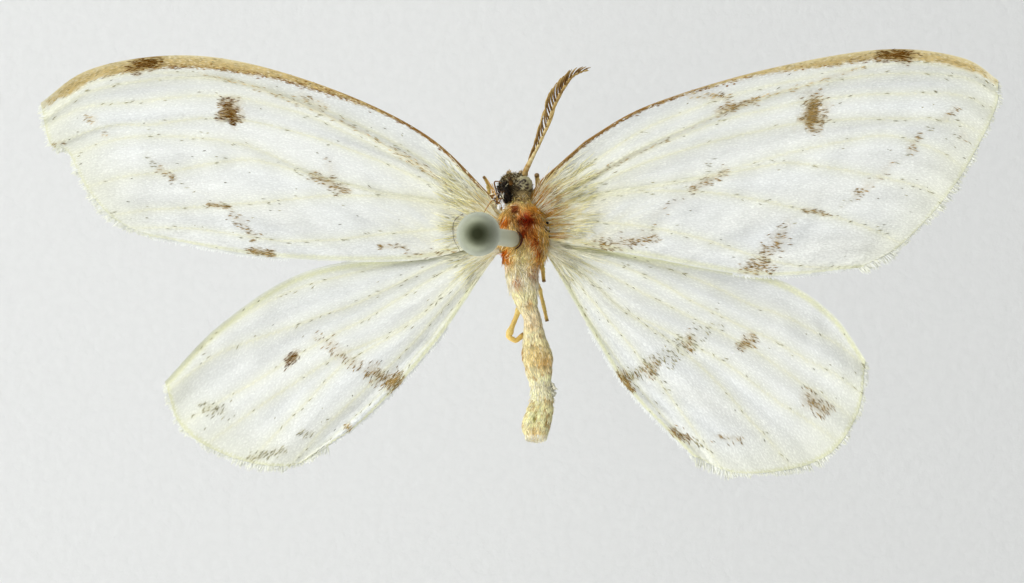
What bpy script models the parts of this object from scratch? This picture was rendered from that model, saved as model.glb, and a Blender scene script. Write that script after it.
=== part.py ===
"""Pinned moth, leucula cachiaria: a set specimen on an insect pin that stands in a foam base.

Metres, +Z up. X runs to the moth's right and Y towards its head. The origin is the middle of the
base's bottom face. Sizes in the constants are millimetres.
"""
import math

import bmesh
import bpy
from mathutils import Matrix, Vector

MM = 0.001

# Gap between an eye and its socket, and round the pin in its bores
FINE_GAP = 0.08

# Base and pin
BASE_LENGTH = 30.0
BASE_WIDTH = 20.0
BASE_HEIGHT = 6.0
BASE_CORNER = 2.0
BASE_EDGE = 0.3
PIN_RADIUS = 0.20
PIN_LENGTH = 38.0
PIN_POINT_LENGTH = 1.2
PIN_HEAD_RADIUS = 0.50
PIN_HEAD_HEIGHT = 0.75
PIN_COLLAR_SHARE = 0.7
PIN_COLLAR_RISE = 0.03
PIN_HEAD_STEPS = 5
PIN_TIP_Z = 1.0
PIN_ENTRY = (-0.20, 0.56, 28.75)
PIN_LEAN = (-0.0751, 0.0048)
PIN_SIDES = 16
BASE_CORNER_STEPS = 6
BORE_BEVEL = 6
BORE_BELOW_TIP = 0.15
BORE_OVER_BASE = 1.0
THORAX_BORE_REACH = 1.5

# Wings: the forewings lie above the hindwings
WING_Z = 28.0
WING_LEVEL = 0.43
WING_THICKNESS = 0.5
WING_RISE = 0.03
WING_COLUMNS = 16
VEIN_HEIGHT = 0.07
VEIN_HALF_WIDTH = 0.11
VEIN_TAPER = 0.45
VEIN_CROWDING = 0.3
VEIN_STATIONS = (0.0, 0.3, 0.6, 1.0)

# Each vein's place at the stations above, from 0 at the leading edge to 1 at the hind edge
FOREWING_VEINS = {
    "subcosta": (0.20, 0.14, 0.07, 0.05),
    "radius": (0.29, 0.23, 0.14, 0.13),
    "media_1": (0.37, 0.34, 0.26, 0.24),
    "media_3": (0.42, 0.51, 0.42, 0.39),
    "cubitus": (0.48, 0.57, 0.66, 0.77),
    "anal": (0.60, 0.79, 0.88, 0.93),
}
HINDWING_VEINS = {
    "subcosta": (0.10, 0.08, 0.11, 0.06),
    "radial_sector": (0.18, 0.22, 0.27, 0.17),
    "media_3": (0.28, 0.37, 0.37, 0.30),
    "cubitus_1": (0.38, 0.57, 0.52, 0.44),
    "cubitus_2": (0.48, 0.65, 0.64, 0.66),
    "anal": (0.62, 0.78, 0.81, 0.86),
}

# Wing outlines: leading edge and hind edge from the root outwards, outer edge from front to back
FOREWING_RIGHT = dict(
    lead=[(0.61, 1.80), (1.68, 2.96), (3.11, 3.75), (5.73, 4.56), (8.58, 5.06), (10.49, 4.87),
          (11.46, 4.27)],
    outer=[(11.46, 4.27), (11.35, 3.51), (10.44, 1.85), (9.18, 0.46), (8.15, -0.11)],
    hind=[(0.76, 0.54), (2.87, 0.15), (5.73, -0.32), (8.15, -0.11)])
FOREWING_LEFT = dict(
    lead=[(-0.80, 1.68), (-2.13, 2.96), (-4.04, 3.96), (-6.42, 4.73), (-8.32, 4.92), (-10.23, 4.58),
          (-11.46, 3.73)],
    outer=[(-11.46, 3.73), (-11.23, 2.77), (-10.82, 2.61), (-10.37, 1.77), (-9.70, 1.04), (-8.80, 0.63)],
    hind=[(-0.68, 0.49), (-2.61, 0.04), (-5.94, 0.13), (-8.80, 0.63)])
HINDWING_RIGHT = dict(
    lead=[(0.78, 0.51), (3.35, 0.15), (6.01, -0.35), (7.42, -1.20), (8.27, -2.37)],
    outer=[(8.27, -2.37), (8.06, -3.70), (7.18, -4.75), (5.35, -5.06), (4.13, -4.61)],
    hind=[(0.75, 0.01), (1.68, -1.61), (2.61, -3.06), (4.13, -4.61)])
HINDWING_LEFT = dict(
    lead=[(-0.70, 0.46), (-2.85, 0.18), (-5.23, -0.27), (-7.13, -1.49), (-8.49, -2.89)],
    outer=[(-8.49, -2.89), (-8.06, -3.99), (-6.89, -4.68), (-5.51, -4.87), (-4.63, -4.39)],
    hind=[(-0.68, 0.01), (-1.96, -1.87), (-3.51, -3.56), (-4.63, -4.39)])

# Body: centres, half sizes and how square the cross-sections are
THORAX_CENTRE = (0.02, 0.60, 28.0)
THORAX_HALF = (0.60, 0.70, 0.80)
THORAX_POWER = 3.2
HEAD_CENTRE = (-0.10, 1.78, 27.85)
HEAD_HALF = (0.47, 0.34, 0.42)
HEAD_POWER = 2.2
EYE_RADIUS = 0.21
EYES = {"eye_left": (-0.40, 1.74, 28.02), "eye_right": (0.10, 1.90, 28.05)}
BODY_END_SHARE = 0.04
PALP_RADIUS = 0.09
PALP_TIP_SHARE = 0.6
PALP_LINE = [(1.98, -0.68), (2.08, -0.72), (2.16, -0.74)]
PALPS = {"palp_left": -0.25, "palp_right": 0.05}

# Abdomen: distance back from the origin, sideways drift and half width at each station
ABDOMEN_STATIONS = [(-0.25, 0.05, 0.40), (-0.56, 0.08, 0.38), (-1.04, 0.17, 0.27), (-1.40, 0.27, 0.245),
                    (-1.99, 0.38, 0.345), (-2.23, 0.42, 0.37), (-2.70, 0.47, 0.315), (-2.93, 0.49, 0.24)]
TIP_STATIONS = [(-3.08, 0.49, 0.24), (-3.51, 0.48, 0.345), (-3.75, 0.44, 0.38), (-4.05, 0.39, 0.29),
                (-4.20, 0.41, 0.12)]
ABDOMEN_Z = 27.80
ABDOMEN_DROOP = 0.05
ABDOMEN_HEIGHT_SHARE = 0.95
ABDOMEN_RINGS = 22
TIP_RINGS = 9
ABDOMEN_SEGMENT = 0.42
RING_GROOVE = 0.07
RING_SHARPNESS = 8

# Legs: points of each centre line, its height above or below the wing level, and the radii at both ends
LEGS = {
    "foreleg_left": ([(-0.30, 1.08, -0.98), (-0.58, 1.35, -1.00), (-0.90, 1.62, -0.75),
                      (-0.86, 2.04, -0.15)], (0.18, 0.13)),
    "foreleg_right": ([(0.26, 1.08, -0.98), (0.48, 1.38, -1.00), (0.60, 1.72, -0.75),
                       (0.42, 2.12, -0.25)], (0.18, 0.13)),
    "midleg_left": ([(-0.50, 0.42, -0.95), (-0.74, 0.30, -1.15), (-1.15, -0.05, -1.15),
                     (-1.45, -0.40, -1.05)], (0.16, 0.14)),
    "midleg_right": ([(0.42, 0.48, -0.95), (0.63, 0.30, -1.12), (0.60, -0.10, -1.05),
                      (0.62, -0.46, -0.80)], (0.16, 0.12)),
    "hindleg_left": ([(-0.28, 0.02, -0.98), (-0.20, -0.40, -1.10), (0.02, -1.00, -0.90),
                      (-0.16, -1.50, -0.65), (-0.25, -1.76, -0.62), (-0.03, -1.92, -0.70),
                      (0.30, -1.80, -0.90)], (0.17, 0.13)),
    "hindleg_right": ([(0.14, 0.02, -1.00), (0.22, -0.35, -1.25), (0.42, -0.78, -1.15),
                       (0.69, -1.43, -0.90)], (0.17, 0.12)),
}
LEG_STEPS = 4
LEG_BEVEL = 3

# Antennae: the right one is whole, the left one is broken off at its first joint on the crown
ANTENNA_POINTS = [(0.12, 2.26, 0.08), (0.20, 2.58, 0.16), (0.39, 3.11, 0.30), (0.63, 3.68, 0.42),
                  (0.87, 4.08, 0.48), (1.11, 4.39, 0.50), (1.32, 4.54, 0.50), (1.58, 4.58, 0.48)]
ANTENNA_RADII = [0.12, 0.13, 0.14, 0.14, 0.13, 0.11, 0.08, 0.05]
BRANCH_PAIRS = 11
BRANCH_SPAN = (0.10, 0.90)
BRANCH_LENGTH = 0.40
BRANCH_ANGLE = math.radians(34)
BRANCH_RADII = (0.065, 0.030)
BRANCH_SIDES = 6
BRANCH_SHORTEST = 0.62
ANTENNA_STUB = [(-0.20, 2.03, 0.28), (-0.23, 2.13, 0.46)]
STUB_RADIUS = 0.07

SECTION_SIDES = 20


def clear_scene():
    for item in list(bpy.data.objects):
        bpy.data.objects.remove(item, do_unlink=True)


def material(name, colour, roughness=0.6, metallic=0.0):
    surface = bpy.data.materials.new(name)
    surface.use_nodes = True
    shader = surface.node_tree.nodes["Principled BSDF"]
    shader.inputs["Base Color"].default_value = (*colour, 1.0)
    shader.inputs["Roughness"].default_value = roughness
    shader.inputs["Metallic"].default_value = metallic
    return surface


def metres(point):
    return Vector(point) * MM


def mesh_object(name, points, faces, surface):
    """One object from points in millimetres, its faces turned outwards and shaded smooth."""
    mesh = bpy.data.meshes.new(name)
    mesh.from_pydata([metres(p) for p in points], [], faces)
    shape = bmesh.new()
    shape.from_mesh(mesh)
    bmesh.ops.recalc_face_normals(shape, faces=shape.faces)
    shape.to_mesh(mesh)
    shape.free()
    mesh.shade_smooth()
    mesh.set_sharp_from_angle(angle=math.radians(40))
    mesh.materials.append(surface)
    item = bpy.data.objects.new(name, mesh)
    bpy.context.scene.collection.objects.link(item)
    return item


def catmull(before, start, end, after, t):
    """One point of the smooth curve between start and end."""
    return 0.5 * (2 * start + (end - before) * t + (2 * before - 5 * start + 4 * end - after) * t * t
                  + (3 * start - before - 3 * end + after) * t ** 3)


def smooth_curve(points, steps):
    """Points along a smooth curve through the given ones, with steps pieces to each stretch."""
    line = [Vector(p) for p in points]
    line = [2 * line[0] - line[1]] + line + [2 * line[-1] - line[-2]]
    curve = [catmull(*line[i:i + 4], step / steps) for i in range(len(line) - 3) for step in range(steps)]
    return curve + [line[-2]]


def point_at(curve, fraction):
    """The point at a fraction of a curve's length."""
    lengths = [(b - a).length for a, b in zip(curve, curve[1:])]
    rest = fraction * sum(lengths)
    for start, end, length in zip(curve, curve[1:], lengths):
        if rest <= length:
            return start.lerp(end, rest / length)
        rest -= length
    return curve[-1].copy()


def station_value(values, u):
    """A vein's place at u, read smoothly between its four stations."""
    curve = smooth_curve([(s, v) for s, v in zip(VEIN_STATIONS, values)], 8)
    for start, end in zip(curve, curve[1:]):
        if u <= end.x:
            return start.y + (end.y - start.y) * (u - start.x) / (end.x - start.x)
    return curve[-1].y


def wing_rows(veins, u, chord):
    """Places across the wing at u, each with its share of the vein height: three rows to a vein."""
    centres = [station_value(values, u) for values in veins.values()]
    limits = [0.0] + centres + [1.0]
    rows = [(0.0, 0.0)]
    for before, centre, after in zip(limits, centres, limits[2:]):
        half = min(VEIN_HALF_WIDTH / chord, VEIN_CROWDING * min(centre - before, after - centre))
        rows.append((0.5 * (rows[-1][0] + centre - half), 0.0))
        rows += [(centre - half, 0.0), (centre, 1.0), (centre + half, 0.0)]
    return rows + [(0.5 * (rows[-1][0] + 1.0), 0.0), (1.0, 0.0)]


def wing_grid(outline, veins):
    """Columns of (x, y, ridge) across the wing, from the root to the outer edge."""
    lead, outer, hind = (smooth_curve(outline[edge], 12) for edge in ("lead", "outer", "hind"))
    grid = []
    for column in range(WING_COLUMNS):
        u = column / (WING_COLUMNS - 1)
        front, back = point_at(lead, u), point_at(hind, u)
        line = []
        for v, ridge in wing_rows(veins, u, (back - front).length):
            across = front.lerp(back, v)
            root = lead[0].lerp(hind[0], v)
            edge = point_at(outer, v)
            corners = root.lerp(lead[-1].lerp(hind[-1], v), u)
            place = across + root.lerp(edge, u) - corners
            line.append((place.x, place.y, ridge * (1.0 - VEIN_TAPER * u)))
        grid.append(line)
    return grid


def wing(name, outline, veins, level, surface):
    """A membrane of even thickness with its veins as ridges, its two faces split into triangles alike."""
    grid = wing_grid(outline, veins)
    rows = len(grid[0])
    points = []
    for side in (1, -1):
        for line in grid:
            for x, y, ridge in line:
                middle = WING_Z + level + WING_RISE * abs(x)
                points.append((x, y, middle + side * (0.5 * WING_THICKNESS + VEIN_HEIGHT * ridge)))
    lower = len(grid) * rows

    def index(column, row, face):
        return face * lower + column * rows + row

    faces = []
    for column in range(len(grid) - 1):
        for row in range(rows - 1):
            for face in (0, 1):
                a, b = index(column, row, face), index(column + 1, row, face)
                c, d = index(column + 1, row + 1, face), index(column, row + 1, face)
                faces += [(a, b, c), (a, c, d)]
    rim = [(column, 0) for column in range(len(grid))]
    rim += [(len(grid) - 1, row) for row in range(1, rows)]
    rim += [(column, rows - 1) for column in range(len(grid) - 2, -1, -1)]
    rim += [(0, row) for row in range(rows - 2, 0, -1)]
    for here, after in zip(rim, rim[1:] + rim[:1]):
        faces.append((index(*here, 0), index(*after, 0), index(*after, 1), index(*here, 1)))
    return mesh_object(name, points, faces, surface)


def power_curve(angle, power):
    """A point of a rounded square, round at power 2."""
    cosine, sine = math.cos(angle), math.sin(angle)
    return (math.copysign(abs(cosine) ** (2 / power), cosine),
            math.copysign(abs(sine) ** (2 / power), sine))


def loft(name, sections, power, surface):
    """A closed body through upright sections (x, y, z, half width, half height), one behind the other."""
    points = []
    for x, y, z, half_width, half_height in sections:
        for side in range(SECTION_SIDES):
            across, up = power_curve(2 * math.pi * (side + 0.5) / SECTION_SIDES, power)
            points.append((x + half_width * across, y, z + half_height * up))
    faces = []
    for ring in range(len(sections) - 1):
        for side in range(SECTION_SIDES):
            after = (side + 1) % SECTION_SIDES
            a, b = ring * SECTION_SIDES + side, ring * SECTION_SIDES + after
            faces.append((a, b, b + SECTION_SIDES, a + SECTION_SIDES))
    faces.append(tuple(range(SECTION_SIDES)))
    faces.append(tuple(range(len(points) - SECTION_SIDES, len(points))))
    return mesh_object(name, points, faces, surface)


def rounded_body(name, centre, half, power, rings, surface):
    """An egg-shaped body whose ends close in small flats."""
    sections = []
    for ring in range(rings):
        angle = math.pi * (BODY_END_SHARE + (1.0 - 2.0 * BODY_END_SHARE) * ring / (rings - 1))
        along, size = power_curve(angle, power)
        sections.append((centre[0], centre[1] + half[1] * along, centre[2], half[0] * size, half[2] * size))
    return loft(name, sections, power, surface)


def ball(name, centre, radius, surface, segments=14, rings=9):
    shape = bmesh.new()
    bmesh.ops.create_uvsphere(shape, u_segments=segments, v_segments=rings, radius=radius * MM,
                              matrix=Matrix.Translation(metres(centre)))
    mesh = bpy.data.meshes.new(name)
    shape.to_mesh(mesh)
    shape.free()
    mesh.shade_smooth()
    mesh.materials.append(surface)
    item = bpy.data.objects.new(name, mesh)
    bpy.context.scene.collection.objects.link(item)
    return item


def rod(name, points, radii, surface, bevel=LEG_BEVEL):
    """A round rod along a smooth line, closed by flat ends."""
    path = bpy.data.curves.new(name, "CURVE")
    path.dimensions = "3D"
    path.bevel_depth = MM
    path.bevel_resolution = bevel
    path.use_fill_caps = True
    line = path.splines.new("POLY")
    line.points.add(len(points) - 1)
    for slot, point, radius in zip(line.points, points, radii):
        slot.co = (*metres(point), 1.0)
        slot.radius = radius
    path.materials.append(surface)
    item = bpy.data.objects.new(name, path)
    bpy.context.scene.collection.objects.link(item)
    return item


def to_mesh_object(item):
    """Replaces a curve object by the mesh that it shows."""
    name = item.name
    mesh = bpy.data.meshes.new_from_object(item.evaluated_get(bpy.context.evaluated_depsgraph_get()))
    bpy.data.objects.remove(item, do_unlink=True)
    solid = bpy.data.objects.new(name, mesh)
    bpy.context.scene.collection.objects.link(solid)
    return solid


def cut(item, cutter):
    """Takes the cutter's shape out of the item and hides the cutter."""
    cutter.hide_render = True
    cutter.display_type = "WIRE"
    step = item.modifiers.new("cut_" + cutter.name, "BOOLEAN")
    step.operation = "DIFFERENCE"
    step.solver = "EXACT"
    step.object = cutter


def pin_point(height):
    """The pin's axis at a height."""
    rise = height - PIN_ENTRY[2]
    return Vector((PIN_ENTRY[0] + PIN_LEAN[0] * rise, PIN_ENTRY[1] + PIN_LEAN[1] * rise, height))


def pin_direction():
    return Vector((PIN_LEAN[0], PIN_LEAN[1], 1.0)).normalized()


def turned_pin(surface):
    """The insect pin, turned from its half outline: point, shaft and domed head."""
    profile = [(0.0, 0.0), (0.25 * PIN_RADIUS, 0.25 * PIN_POINT_LENGTH), (PIN_RADIUS, PIN_POINT_LENGTH)]
    shoulder = PIN_LENGTH - PIN_HEAD_HEIGHT
    profile += [(PIN_RADIUS, shoulder), (PIN_COLLAR_SHARE * PIN_HEAD_RADIUS, shoulder + PIN_COLLAR_RISE)]
    for step in range(PIN_HEAD_STEPS + 1):
        angle = math.pi * (-0.25 + 0.75 * step / PIN_HEAD_STEPS)
        profile.append((PIN_HEAD_RADIUS * math.cos(angle),
                        PIN_LENGTH + 0.5 * PIN_HEAD_HEIGHT * (math.sin(angle) - 1.0)))
    profile[-1] = (0.0, PIN_LENGTH)
    turn = Vector((0, 0, 1)).rotation_difference(pin_direction())
    tip = pin_point(PIN_TIP_Z)
    points = [tip + turn @ Vector((0, 0, profile[0][1]))]
    for radius, height in profile[1:-1]:
        for side in range(PIN_SIDES):
            angle = 2 * math.pi * side / PIN_SIDES
            points.append(tip + turn @ Vector((radius * math.cos(angle), radius * math.sin(angle), height)))
    points.append(tip + turn @ Vector((0, 0, profile[-1][1])))
    rings = len(profile) - 2
    last = len(points) - 1
    faces = []
    for side in range(PIN_SIDES):
        after = (side + 1) % PIN_SIDES
        faces.append((0, 1 + side, 1 + after))
        faces.append((last, last - PIN_SIDES + side, last - PIN_SIDES + after))
        for ring in range(rings - 1):
            a, b = 1 + ring * PIN_SIDES + side, 1 + ring * PIN_SIDES + after
            faces.append((a, b, b + PIN_SIDES, a + PIN_SIDES))
    return mesh_object("insect_pin", points, faces, surface)


def pin_bore(name, low, high):
    """A cutter along the pin that leaves a fine gap all round it."""
    return rod(name, [pin_point(low), pin_point(high)], [PIN_RADIUS + FINE_GAP] * 2, None, bevel=BORE_BEVEL)


def base(surface):
    """A foam block with round corners and softened edges, bored for the pin's lower end."""
    points = []
    levels = ((0.0, BASE_EDGE), (BASE_EDGE, 0.0), (BASE_HEIGHT - BASE_EDGE, 0.0), (BASE_HEIGHT, BASE_EDGE))
    for z, inset in levels:
        for corner in range(4):
            mid_x = (0.5 * BASE_LENGTH - BASE_CORNER) * (1 if corner in (0, 3) else -1)
            mid_y = (0.5 * BASE_WIDTH - BASE_CORNER) * (1 if corner in (0, 1) else -1)
            for step in range(BASE_CORNER_STEPS + 1):
                angle = 0.5 * math.pi * (corner + step / BASE_CORNER_STEPS)
                points.append((mid_x + (BASE_CORNER - inset) * math.cos(angle),
                               mid_y + (BASE_CORNER - inset) * math.sin(angle), z))
    around = 4 * (BASE_CORNER_STEPS + 1)
    last = len(levels) - 1
    faces = [tuple(range(around)), tuple(range(last * around, (last + 1) * around))]
    for ring in range(last):
        for side in range(around):
            a, b = ring * around + side, ring * around + (side + 1) % around
            faces.append((a, b, b + around, a + around))
    block = mesh_object("stand_base", points, faces, surface)
    bore = to_mesh_object(pin_bore("base_bore", PIN_TIP_Z - BORE_BELOW_TIP, BASE_HEIGHT + BORE_OVER_BASE))
    cut(block, bore)
    return block


def abdomen_sections(stations, rings, grooves):
    """Sections along the abdomen, drawn in a little where two of its rings meet."""
    curve = smooth_curve([(y, x, half) for y, x, half in stations], 8)
    sections = []
    for ring in range(rings):
        y, x, half = point_at(curve, ring / (rings - 1))
        if grooves:
            wave = math.cos(math.pi * (y - stations[0][0]) / ABDOMEN_SEGMENT)
            half *= 1.0 - RING_GROOVE * wave ** RING_SHARPNESS
        sections.append((x, y, ABDOMEN_Z + ABDOMEN_DROOP * y, half, ABDOMEN_HEIGHT_SHARE * half))
    return sections


def body(surfaces):
    thorax = rounded_body("thorax", THORAX_CENTRE, THORAX_HALF, THORAX_POWER, 12, surfaces["thorax"])
    bore = to_mesh_object(pin_bore("thorax_bore", WING_Z - THORAX_BORE_REACH, WING_Z + THORAX_BORE_REACH))
    cut(thorax, bore)
    head = rounded_body("head", HEAD_CENTRE, HEAD_HALF, HEAD_POWER, 11, surfaces["head"])
    for name, centre in EYES.items():
        socket = ball(name + "_socket", centre, EYE_RADIUS + FINE_GAP, None)
        cut(head, socket)
        ball(name, centre, EYE_RADIUS, surfaces["eye"])
    for name, x in PALPS.items():
        rod(name, [(x, y, WING_Z + z) for y, z in PALP_LINE],
            [PALP_RADIUS, PALP_RADIUS, PALP_TIP_SHARE * PALP_RADIUS], surfaces["leg"])
    loft("abdomen", abdomen_sections(ABDOMEN_STATIONS, ABDOMEN_RINGS, True), 2.0, surfaces["abdomen"])
    loft("abdomen_tip", abdomen_sections(TIP_STATIONS, TIP_RINGS, False), 2.0, surfaces["abdomen"])


def legs(surface):
    for name, (points, (start, end)) in LEGS.items():
        line = smooth_curve([(x, y, WING_Z + z) for x, y, z in points], LEG_STEPS)
        radii = [start + (end - start) * i / (len(line) - 1) for i in range(len(line))]
        rod(name, line, radii, surface)


def branch(root, direction, length):
    """One side branch of the feeler, a slim cone with its root sunk to the shaft's middle."""
    shape = bmesh.new()
    turn = Vector((0, 0, 1)).rotation_difference(direction).to_matrix().to_4x4()
    middle = Matrix.Translation(metres(root + direction * 0.5 * length))
    bmesh.ops.create_cone(shape, cap_ends=True, segments=BRANCH_SIDES, radius1=BRANCH_RADII[0] * MM,
                          radius2=BRANCH_RADII[1] * MM, depth=length * MM, matrix=middle @ turn)
    mesh = bpy.data.meshes.new("branch")
    shape.to_mesh(mesh)
    shape.free()
    return bpy.data.objects.new("branch", mesh)


def feeler_branches(line):
    """Pairs of branches folded forwards along the shaft, shorter towards both of its ends."""
    group = bpy.data.collections.new("feeler_branches")
    bpy.context.scene.collection.children.link(group)
    for pair in range(BRANCH_PAIRS):
        share = pair / (BRANCH_PAIRS - 1)
        fraction = BRANCH_SPAN[0] + (BRANCH_SPAN[1] - BRANCH_SPAN[0]) * share
        root = point_at(line, fraction)
        forward = (point_at(line, min(fraction + 0.03, 1.0)) - root).normalized()
        across = forward.cross(Vector((0, 0, 1))).normalized()
        swell = math.sin(math.pi * min(1.0, 1.15 * share))
        length = BRANCH_LENGTH * (BRANCH_SHORTEST + (1.0 - BRANCH_SHORTEST) * swell)
        for side in (-1, 1):
            direction = forward * math.cos(BRANCH_ANGLE) + across * side * math.sin(BRANCH_ANGLE)
            group.objects.link(branch(root, direction, length))
    return group


def largest_surface(item):
    """Keeps only the closed surface with the most faces of a mesh object."""
    shape = bmesh.new()
    shape.from_mesh(item.data)
    groups = []
    waiting = set(shape.verts)
    while waiting:
        found = [waiting.pop()]
        for vertex in found:
            for edge in vertex.link_edges:
                other = edge.other_vert(vertex)
                if other in waiting:
                    waiting.discard(other)
                    found.append(other)
        groups.append(found)
    keep = max(groups, key=len)
    loose = [vertex for group in groups if group is not keep for vertex in group]
    bmesh.ops.delete(shape, geom=loose, context="VERTS")
    shape.to_mesh(item.data)
    shape.free()


def fuse(item, group):
    """Joins a collection's closed pieces to the item in one union and removes them."""
    step = item.modifiers.new("fuse", "BOOLEAN")
    step.operation = "UNION"
    step.operand_type = "COLLECTION"
    step.collection = group
    step.solver = "EXACT"
    solid = to_mesh_object(item)
    for piece in list(group.objects):
        bpy.data.objects.remove(piece, do_unlink=True)
    bpy.data.collections.remove(group)
    largest_surface(solid)
    return solid


def antennae(surface):
    line = smooth_curve([(x, y, WING_Z + z) for x, y, z in ANTENNA_POINTS], 3)
    sizes = smooth_curve([(i, r) for i, r in enumerate(ANTENNA_RADII)], 3)
    shaft = to_mesh_object(rod("antenna_right", line, [size.y for size in sizes], surface))
    fuse(shaft, feeler_branches(line))
    rod("antenna_left_stub", [(x, y, WING_Z + z) for x, y, z in ANTENNA_STUB], [STUB_RADIUS] * 2, surface)


def main():
    clear_scene()
    surfaces = {
        "forewing": material("forewing_membrane", (0.86, 0.86, 0.80), 0.55),
        "hindwing": material("hindwing_membrane", (0.84, 0.85, 0.79), 0.55),
        "thorax": material("thorax_hair", (0.62, 0.36, 0.14), 0.8),
        "abdomen": material("abdomen_scales", (0.76, 0.62, 0.42), 0.75),
        "head": material("head_scales", (0.42, 0.36, 0.28), 0.8),
        "eye": material("eye_shell", (0.05, 0.045, 0.045), 0.3),
        "leg": material("leg_chitin", (0.62, 0.44, 0.26), 0.5),
        "antenna": material("antenna_chitin", (0.45, 0.34, 0.20), 0.6),
        "pin": material("pin_steel", (0.46, 0.48, 0.45), 0.3, 1.0),
        "base": material("base_foam", (0.82, 0.83, 0.85), 0.9),
    }
    base(surfaces["base"])
    turned_pin(surfaces["pin"])
    body(surfaces)
    legs(surfaces["leg"])
    antennae(surfaces["antenna"])
    wing("forewing_right", FOREWING_RIGHT, FOREWING_VEINS, WING_LEVEL, surfaces["forewing"])
    wing("forewing_left", FOREWING_LEFT, FOREWING_VEINS, WING_LEVEL, surfaces["forewing"])
    wing("hindwing_right", HINDWING_RIGHT, HINDWING_VEINS, -WING_LEVEL, surfaces["hindwing"])
    wing("hindwing_left", HINDWING_LEFT, HINDWING_VEINS, -WING_LEVEL, surfaces["hindwing"])


main()
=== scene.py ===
"""Looks of the pinned moth: thin scaled wings, haired body, feathered antenna, steel pin and foam base.

Sizes are in millimetres until a mesh is made. +X is the moth's right, +Y its head end, +Z up.
"""
import math

import bpy
import numpy as np
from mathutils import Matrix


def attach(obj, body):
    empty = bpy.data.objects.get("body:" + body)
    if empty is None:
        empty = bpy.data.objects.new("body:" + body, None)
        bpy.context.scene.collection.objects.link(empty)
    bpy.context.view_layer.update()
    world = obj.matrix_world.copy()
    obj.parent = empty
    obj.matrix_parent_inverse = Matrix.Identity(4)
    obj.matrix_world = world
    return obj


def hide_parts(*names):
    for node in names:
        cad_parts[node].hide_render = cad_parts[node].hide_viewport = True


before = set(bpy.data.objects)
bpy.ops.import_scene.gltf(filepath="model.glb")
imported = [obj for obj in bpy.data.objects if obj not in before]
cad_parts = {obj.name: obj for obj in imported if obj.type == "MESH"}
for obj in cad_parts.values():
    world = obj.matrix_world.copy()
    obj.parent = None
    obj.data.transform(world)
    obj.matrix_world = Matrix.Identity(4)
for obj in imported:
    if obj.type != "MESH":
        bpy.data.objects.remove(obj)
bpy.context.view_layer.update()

MM = 0.001
SEED = 4711
UP = np.array([0.0, 0.0, 1.0])
NEARLY_NONE = 1e-6

# Camera: straight above, at the photo's width of view
CAMERA_X = -0.18
CAMERA_Y = -0.69
CAMERA_ABOVE_WINGS = 200.0
VIEW_WIDTH_AT_WINGS = 24.38
SENSOR_WIDTH = 36.0

# Light: a ring of softboxes low enough that the moth's shadow falls outside the base
BOX_COUNT = 8
BOX_DISTANCE = 320.0
BOX_LEFT_NEARER = 0.80
BOX_ELEVATION = math.radians(30)
BOX_SIZE = (210.0, 110.0)
BOX_POWER = 0.208
BOX_LEFT_GAIN = 1.0
SKY_ZENITH = (0.03, 0.035, 0.02)
SKY_HORIZON = (0.66, 0.67, 0.67)
SKY_CAP = (0.80, 0.975)
SKY_STRENGTH = 0.60
FLOOR_SIZE = 1600.0
FLOOR_TONE = (222, 222, 221)

# Wings: outlines and veins as in the part, thinner and closer together
WING_Z = 28.0
WING_LEVEL = 0.06
WING_RISE = 0.03
MEMBRANE_THICKNESS = 0.045
MEMBRANE_ALPHA = 0.92
FINE_U = 241
FINE_V = 121
MEMBRANE_U = 180
MEMBRANE_V = 84
MEMBRANE_END = 0.992
RIM_CORNER = math.radians(60)
OUTLINES = {
    "forewing_right": {
        "lead": [(0.20, 1.47), (0.48, 1.90), (0.86, 2.25), (1.32, 2.66), (1.75, 3.00), (3.11, 3.75),
                 (5.73, 4.56), (8.58, 5.06), (10.49, 4.87), (11.46, 4.27)],
        "outer": [(11.46, 4.27), (11.35, 3.51), (10.44, 1.85), (9.18, 0.46), (8.15, -0.11)],
        "hind": [(0.45, 0.56), (0.76, 0.54), (2.87, 0.15), (5.73, -0.32), (8.15, -0.11)],
    },
    "forewing_left": {
        "lead": [(-0.42, 1.28), (-0.80, 1.68), (-2.13, 2.96), (-4.04, 3.96), (-6.42, 4.73), (-8.32, 4.92),
                 (-10.23, 4.58), (-11.46, 3.73)],
        "outer": [(-11.46, 3.73), (-11.23, 2.77), (-10.82, 2.61), (-10.37, 1.77), (-9.70, 1.04),
                  (-8.80, 0.63)],
        "hind": [(-0.38, 0.52), (-0.68, 0.49), (-2.61, 0.04), (-5.94, 0.13), (-8.80, 0.63)],
    },
    "hindwing_right": {
        "lead": [(0.48, 0.53), (0.78, 0.51), (3.35, 0.15), (6.01, -0.35), (7.42, -1.20), (8.27, -2.37)],
        "outer": [(8.27, -2.37), (8.06, -3.70), (7.18, -4.75), (5.35, -5.06), (4.13, -4.61)],
        "hind": [(0.50, 0.28), (0.75, 0.01), (1.68, -1.61), (2.61, -3.06), (4.13, -4.61)],
    },
    "hindwing_left": {
        "lead": [(-0.38, 0.50), (-0.70, 0.46), (-2.85, 0.18), (-5.23, -0.27), (-7.13, -1.49), (-8.49, -2.89)],
        "outer": [(-8.49, -2.89), (-8.06, -3.99), (-6.89, -4.68), (-5.51, -4.87), (-4.63, -4.39)],
        "hind": [(-0.38, 0.22), (-0.68, 0.01), (-1.96, -1.87), (-3.51, -3.56), (-4.63, -4.39)],
    },
}

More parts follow.
